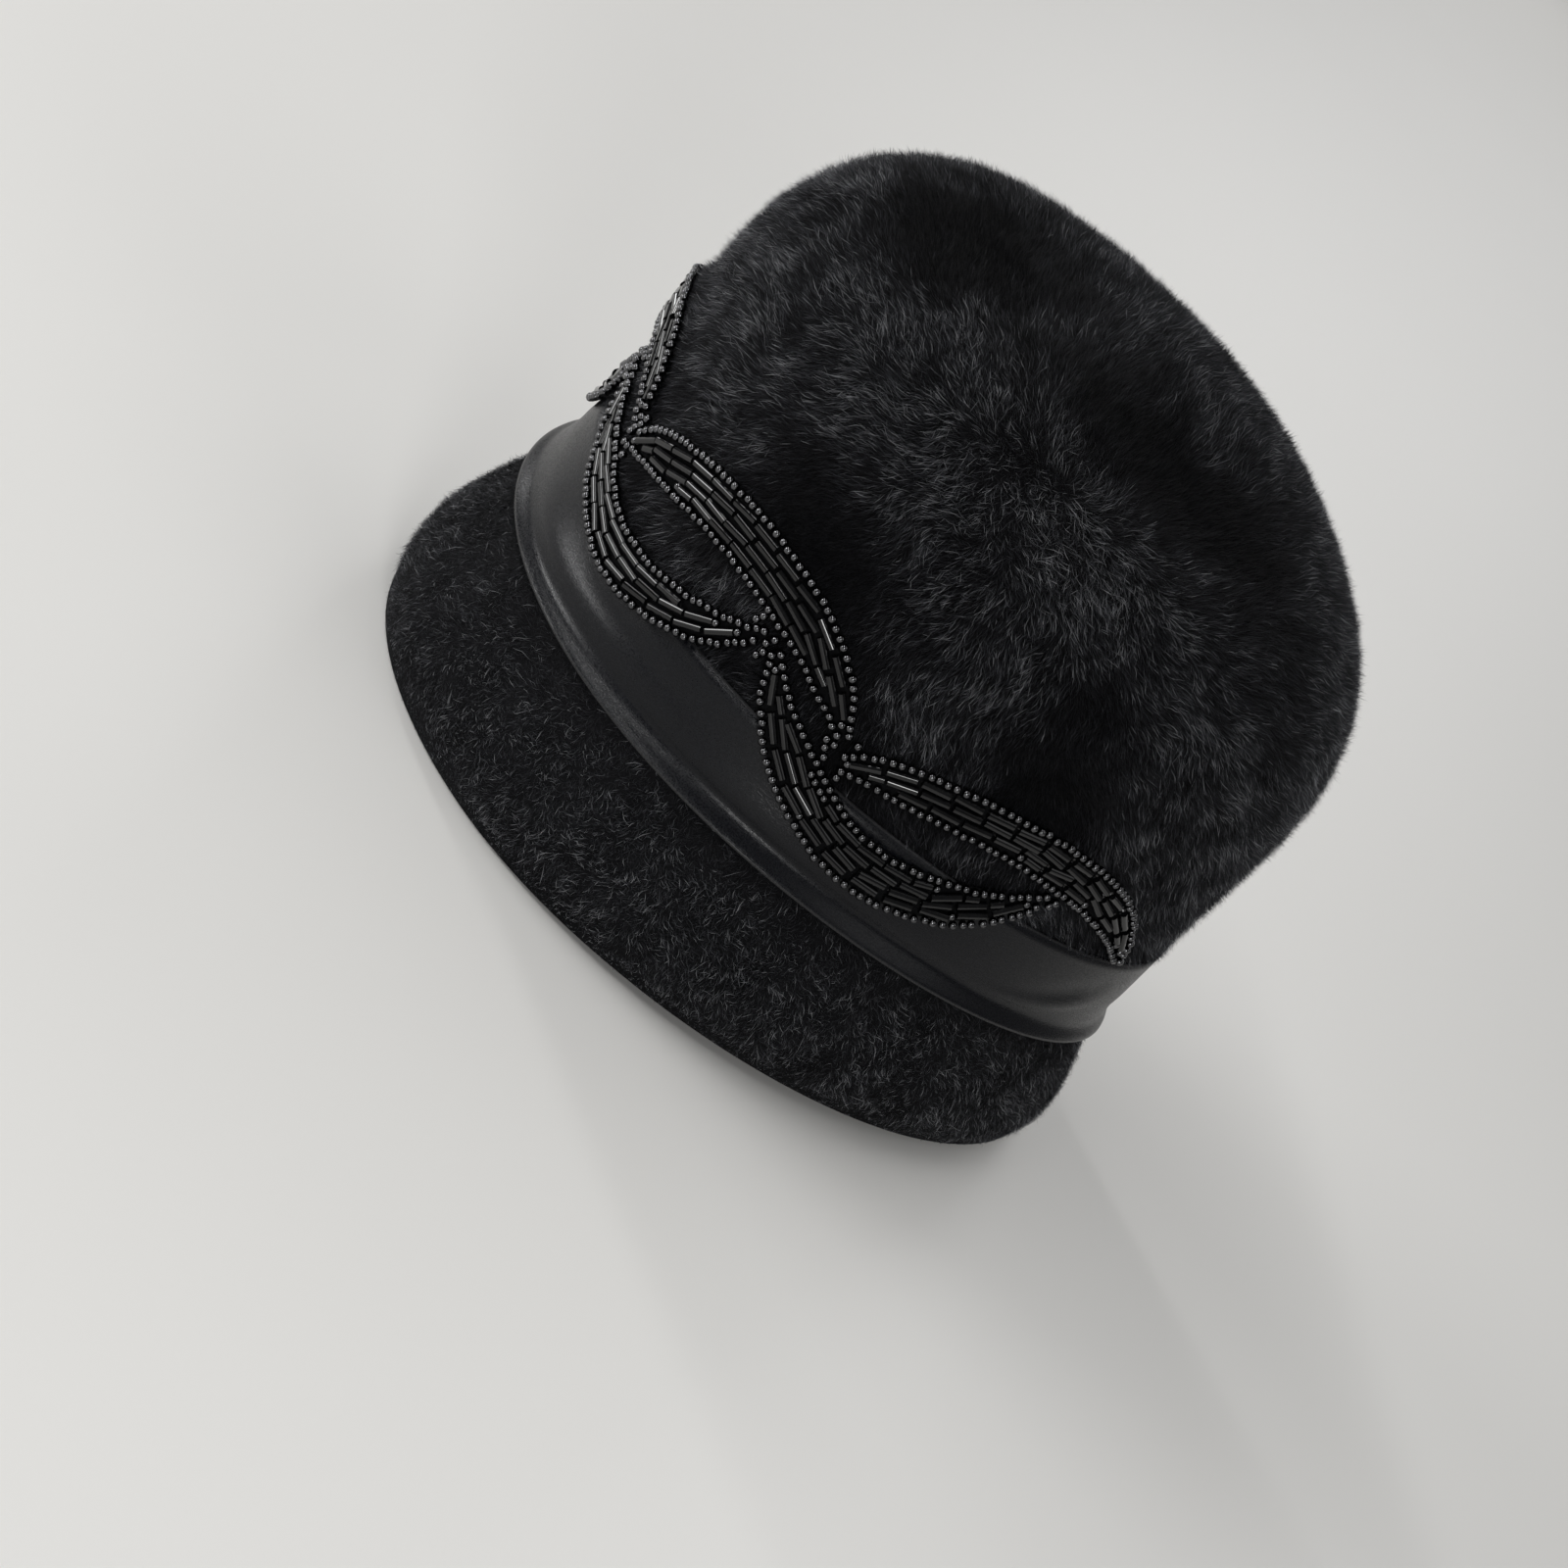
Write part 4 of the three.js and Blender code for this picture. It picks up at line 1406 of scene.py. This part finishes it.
# %% [markdown]
# ## Materials: felt and fur
#
# Black is never one black. The dyed hair has a cool cast. Most hairs are nearly black and a few are
# grey, by the tone that each was given when it was set, and every hair is darker and duller at its
# root than at its tip. Part of that tone is painted light: painted shade in the thin patches, beside
# the trim, on the crown's top and on the brim under the ribbon, and painted sheen in the full
# patches, on the brim's left and as painted glints in some of the palest hairs. Under it the felt is
# dead matt. One node group makes the cloudy change of tone that both felts, the glass and the cloth
# of the trim share.


# %% Shared cloudy tone
def calculated(tree, operation, *values):
    """A number worked out from others."""
    return add_node(tree, "ShaderNodeMath", dict(enumerate(values)), operation=operation).outputs[0]


def fade(tree, share, lowest, highest, start=0, end=1):
    """A number that goes from one value to another while the share goes from start to end."""
    limits = {"Value": share, "From Min": start, "From Max": end, "To Min": lowest, "To Max": highest}
    return add_node(tree, "ShaderNodeMapRange", limits).outputs["Result"]


def mixed(tree, share, first, second):
    """A colour between two. Each is an output or a colour."""
    colours = {6: first, 7: second}
    for slot, colour in colours.items():
        if isinstance(colour, tuple):
            colours[slot] = (*colour, 1)
    return add_node(tree, "ShaderNodeMix", {"Factor": share, **colours}, data_type="RGBA").outputs[2]


def cloudy_group():
    """A colour between two, by soft noise in patches and grains, and the grains for bump."""
    group = bpy.data.node_groups.new("cloudy_tone", "ShaderNodeTree")
    for label, way, kind in (
        ("Dark", "INPUT", "NodeSocketColor"),
        ("Light", "INPUT", "NodeSocketColor"),
        ("Patch per metre", "INPUT", "NodeSocketFloat"),
        ("Grain per metre", "INPUT", "NodeSocketFloat"),
        ("Color", "OUTPUT", "NodeSocketColor"),
        ("Grain", "OUTPUT", "NodeSocketFloat"),
    ):
        group.interface.new_socket(label, in_out=way, socket_type=kind)
    given = add_node(group, "NodeGroupInput").outputs
    place = own_place(group)
    patch = noise(group, place, 1, 3, Scale=given["Patch per metre"])
    grain = noise(group, place, 1, 4, Scale=given["Grain per metre"], Roughness=0.65)
    both = calculated(group, "MULTIPLY", patch, grain)
    tone = mixed(group, fade(group, both, 0, 1, 0.12, 0.42), given["Dark"], given["Light"])
    add_node(group, "NodeGroupOutput", {"Color": tone, "Grain": grain})
    return group


cloudy_tone = cloudy_group()
print("cloudy tone:", len(cloudy_tone.nodes), "nodes")


# %% The tone and a bump in a material
def cloudy(tree, dark, light, patch_size, grain_size):
    """The colour and the grain of the cloudy tone in a material, with its sizes in metres."""
    inputs = {
        "Dark": (*dark, 1),
        "Light": (*light, 1),
        "Patch per metre": 1 / patch_size,
        "Grain per metre": 1 / grain_size,
    }
    node = add_node(tree, "ShaderNodeGroup", node_tree=cloudy_tone)
    feed(tree, node, inputs)
    return node.outputs


def bump(tree, height, strength, distance):
    """The normal of a bump, with its distance in metres."""
    inputs = {"Height": height, "Strength": strength, "Distance": distance}
    return add_node(tree, "ShaderNodeBump", inputs).outputs["Normal"]


print("cloudy and bump ready")

# %% Felt
FELT_PATCH = 0.012


def felt_material(name, dark, light, grain_size, relief):
    """Matted felt: matt, mottled, with the relief of tangled fibre."""
    material, tree, shader = new_material(name)
    tone = cloudy(tree, dark, light, FELT_PATCH, grain_size)
    feed(tree, shader, {
        "Base Color": tone["Color"],
        "Normal": bump(tree, tone["Grain"], 0.9, relief),
        "Roughness": 0.95,
        "Specular IOR Level": 0.1,
    })
    return material


FUR_BASE_TONES = ((0.0012, 0.0012, 0.0015), (0.0035, 0.0036, 0.0042))
NAP_BASE_TONES = ((0.0024, 0.0025, 0.0029), (0.0075, 0.0077, 0.0086))
fur_base = felt_material("fur_base", *FUR_BASE_TONES, 0.0012, 0.0006)
nap_base = felt_material("nap_base", *NAP_BASE_TONES, 0.0009, 0.0006)
cover(crown_felt, fur_base)
cover(brim_felt, nap_base)
print("felt done")


# %% Hair
def attribute(tree, name):
    """A number kept on the piece's points."""
    return add_node(tree, "ShaderNodeAttribute", attribute_name=name).outputs["Fac"]


def hair_material(name, root, shades, roughness):
    """Dyed hair: its tone picks the shade, and the share along it darkens and dulls its root."""
    material, tree, shader = new_material(name)
    share = attribute(tree, "share")
    shade = ramp(tree, attribute(tree, "tone"), shades)
    feed(tree, shader, {
        "Base Color": mixed(tree, fade(tree, share, 0, 1, 0.1, 0.8), root, shade),
        "Roughness": fade(tree, share, 0.85, roughness),
        "Specular IOR Level": 0.18,
    })
    return material


# The palest shades are partly grey hairs and partly painted glints of light on single hairs.
FUR_SHADES_AND_GLINTS = [
    (0.0, (0.0016, 0.0017, 0.0024)),
    (0.4, (0.0060, 0.0064, 0.0085)),
    (0.7, (0.0300, 0.0310, 0.0365)),
    (0.95, (0.1300, 0.1330, 0.1450)),
    (1.0, (0.3200, 0.3250, 0.3400)),
]
NAP_SHADES = [
    (0.0, (0.0026, 0.0028, 0.0038)),
    (0.4, (0.0090, 0.0094, 0.0118)),
    (0.7, (0.0360, 0.0370, 0.0425)),
    (0.95, (0.1500, 0.1530, 0.1650)),
    (1.0, (0.3400, 0.3450, 0.3600)),
]
crown_hair = hair_material("crown_hair", (0.0012, 0.0012, 0.0014), FUR_SHADES_AND_GLINTS, 0.42)
brim_hair = hair_material("brim_hair", (0.0015, 0.0015, 0.0018), NAP_SHADES, 0.48)
for pile, hair in ((crown_pile, crown_hair), (brim_nap, brim_hair)):
    for piece in pile:
        cover(piece, hair)
print("hair done")

# %% [markdown]
# ## Materials: satin, glass and backing
#
# Satin floats its warp over the weft, so it is smooth along the ribbon and shows fine lines across
# it. The ribbon's own map carries these lines round the head, with a firm selvedge at both edges,
# painted paler there as a highlight. The tube beads are black glass, nearly colourless but for what
# they reflect, and dulled a little by dust. The round beads have a lustre coat, so they reflect more
# and shine as metal does.

# %% Satin
RIBBON_LENGTH = 0.585
THREAD = 0.00022
THREAD_STRETCH = 8
SPARKLE = 0.0004
SELVEDGE_AND_HIGHLIGHT_STOPS = [(0.0, 1.0), (0.018, 1.0), (0.026, 0.0), (0.974, 0.0), (0.982, 1.0), (1.0, 1.0)]
SATIN_TONES = [(0.3, (0.0016, 0.0018, 0.0028)), (0.75, (0.0040, 0.0044, 0.0062))]
# The selvedge's paler colour is a painted highlight along both edges of the ribbon.
SELVEDGE_PAINTED_HIGHLIGHT = (0.018, 0.018, 0.019)
satin, tree, shader = new_material("black_satin")
ribbon_uv = add_node(tree, "ShaderNodeUVMap", uv_map="along_ribbon").outputs["UV"]
thread_scale = (RIBBON_LENGTH / THREAD / THREAD_STRETCH, RIBBON_WIDTH * MM / THREAD, 1)
stretched = add_node(tree, "ShaderNodeMapping", {"Vector": ribbon_uv, "Scale": thread_scale})
threads = noise(tree, stretched.outputs["Vector"], 1, 2)
across = add_node(tree, "ShaderNodeSeparateXYZ", {"Vector": ribbon_uv}).outputs["Y"]
selvedge_and_highlight = ramp(tree, across, SELVEDGE_AND_HIGHLIGHT_STOPS)
relief = calculated(tree, "MULTIPLY_ADD", selvedge_and_highlight, 0.6, threads)
sparkle = noise(tree, own_place(tree), SPARKLE, 1)
feed(tree, shader, {
    "Base Color": mixed(tree, selvedge_and_highlight, ramp(tree, threads, SATIN_TONES), SELVEDGE_PAINTED_HIGHLIGHT),
    "Normal": bump(tree, relief, 0.5, 0.0001),
    "Roughness": fade(tree, sparkle, 0.23, 0.36, 0.35, 0.65),
    "Specular IOR Level": 0.22,
    "Anisotropic": 0.6,
})
cover(ribbon, satin)
print("satin:", len(satin.node_tree.nodes), "nodes")

# %% Glass
GLASS_TONES = ((0.0012, 0.0012, 0.0015), (0.005, 0.0051, 0.0055))
LUSTRE = (0.10, 0.10, 0.104)
LUSTRE_DULL = 0.02
glass, tree, shader = new_material("black_glass")
dust = cloudy(tree, *GLASS_TONES, 0.006, 0.0011)
is_round = attribute(tree, "round")
dulled = fade(tree, dust["Grain"], 0.02, 0.09, 0.35, 0.8)
feed(tree, shader, {
    "Base Color": mixed(tree, is_round, dust["Color"], LUSTRE),
    "Metallic": is_round,
    "Roughness": calculated(tree, "MULTIPLY_ADD", is_round, LUSTRE_DULL, dulled),
    "Specular IOR Level": 0.42,
})
print("glass:", len(glass.node_tree.nodes), "nodes")

# %% Backing cloth
BACKING_TONES = ((0.0015, 0.0015, 0.0018), (0.0045, 0.0046, 0.0052))
backing_cloth = felt_material("backing_cloth", *BACKING_TONES, 0.0005, 0.00015)
for beads, backing in zip(bead_pieces, backing_pieces):
    cover(beads, glass)
    cover(backing, backing_cloth)
print("beads and backing covered")

# %% [markdown]
# ## Finish
#
# The models that were only copied from are removed, and the triangles of every added piece are
# counted.

# %% Finish
for model in (tube_bead, round_bead, *guard_models, *under_models):
    bpy.data.objects.remove(model)
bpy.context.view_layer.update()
frame_nodes = set(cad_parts.values())
added = [piece for piece in bpy.data.objects if piece.type == "MESH" and piece not in frame_nodes]
print("triangles in all:", sum(triangles(piece) for piece in added))
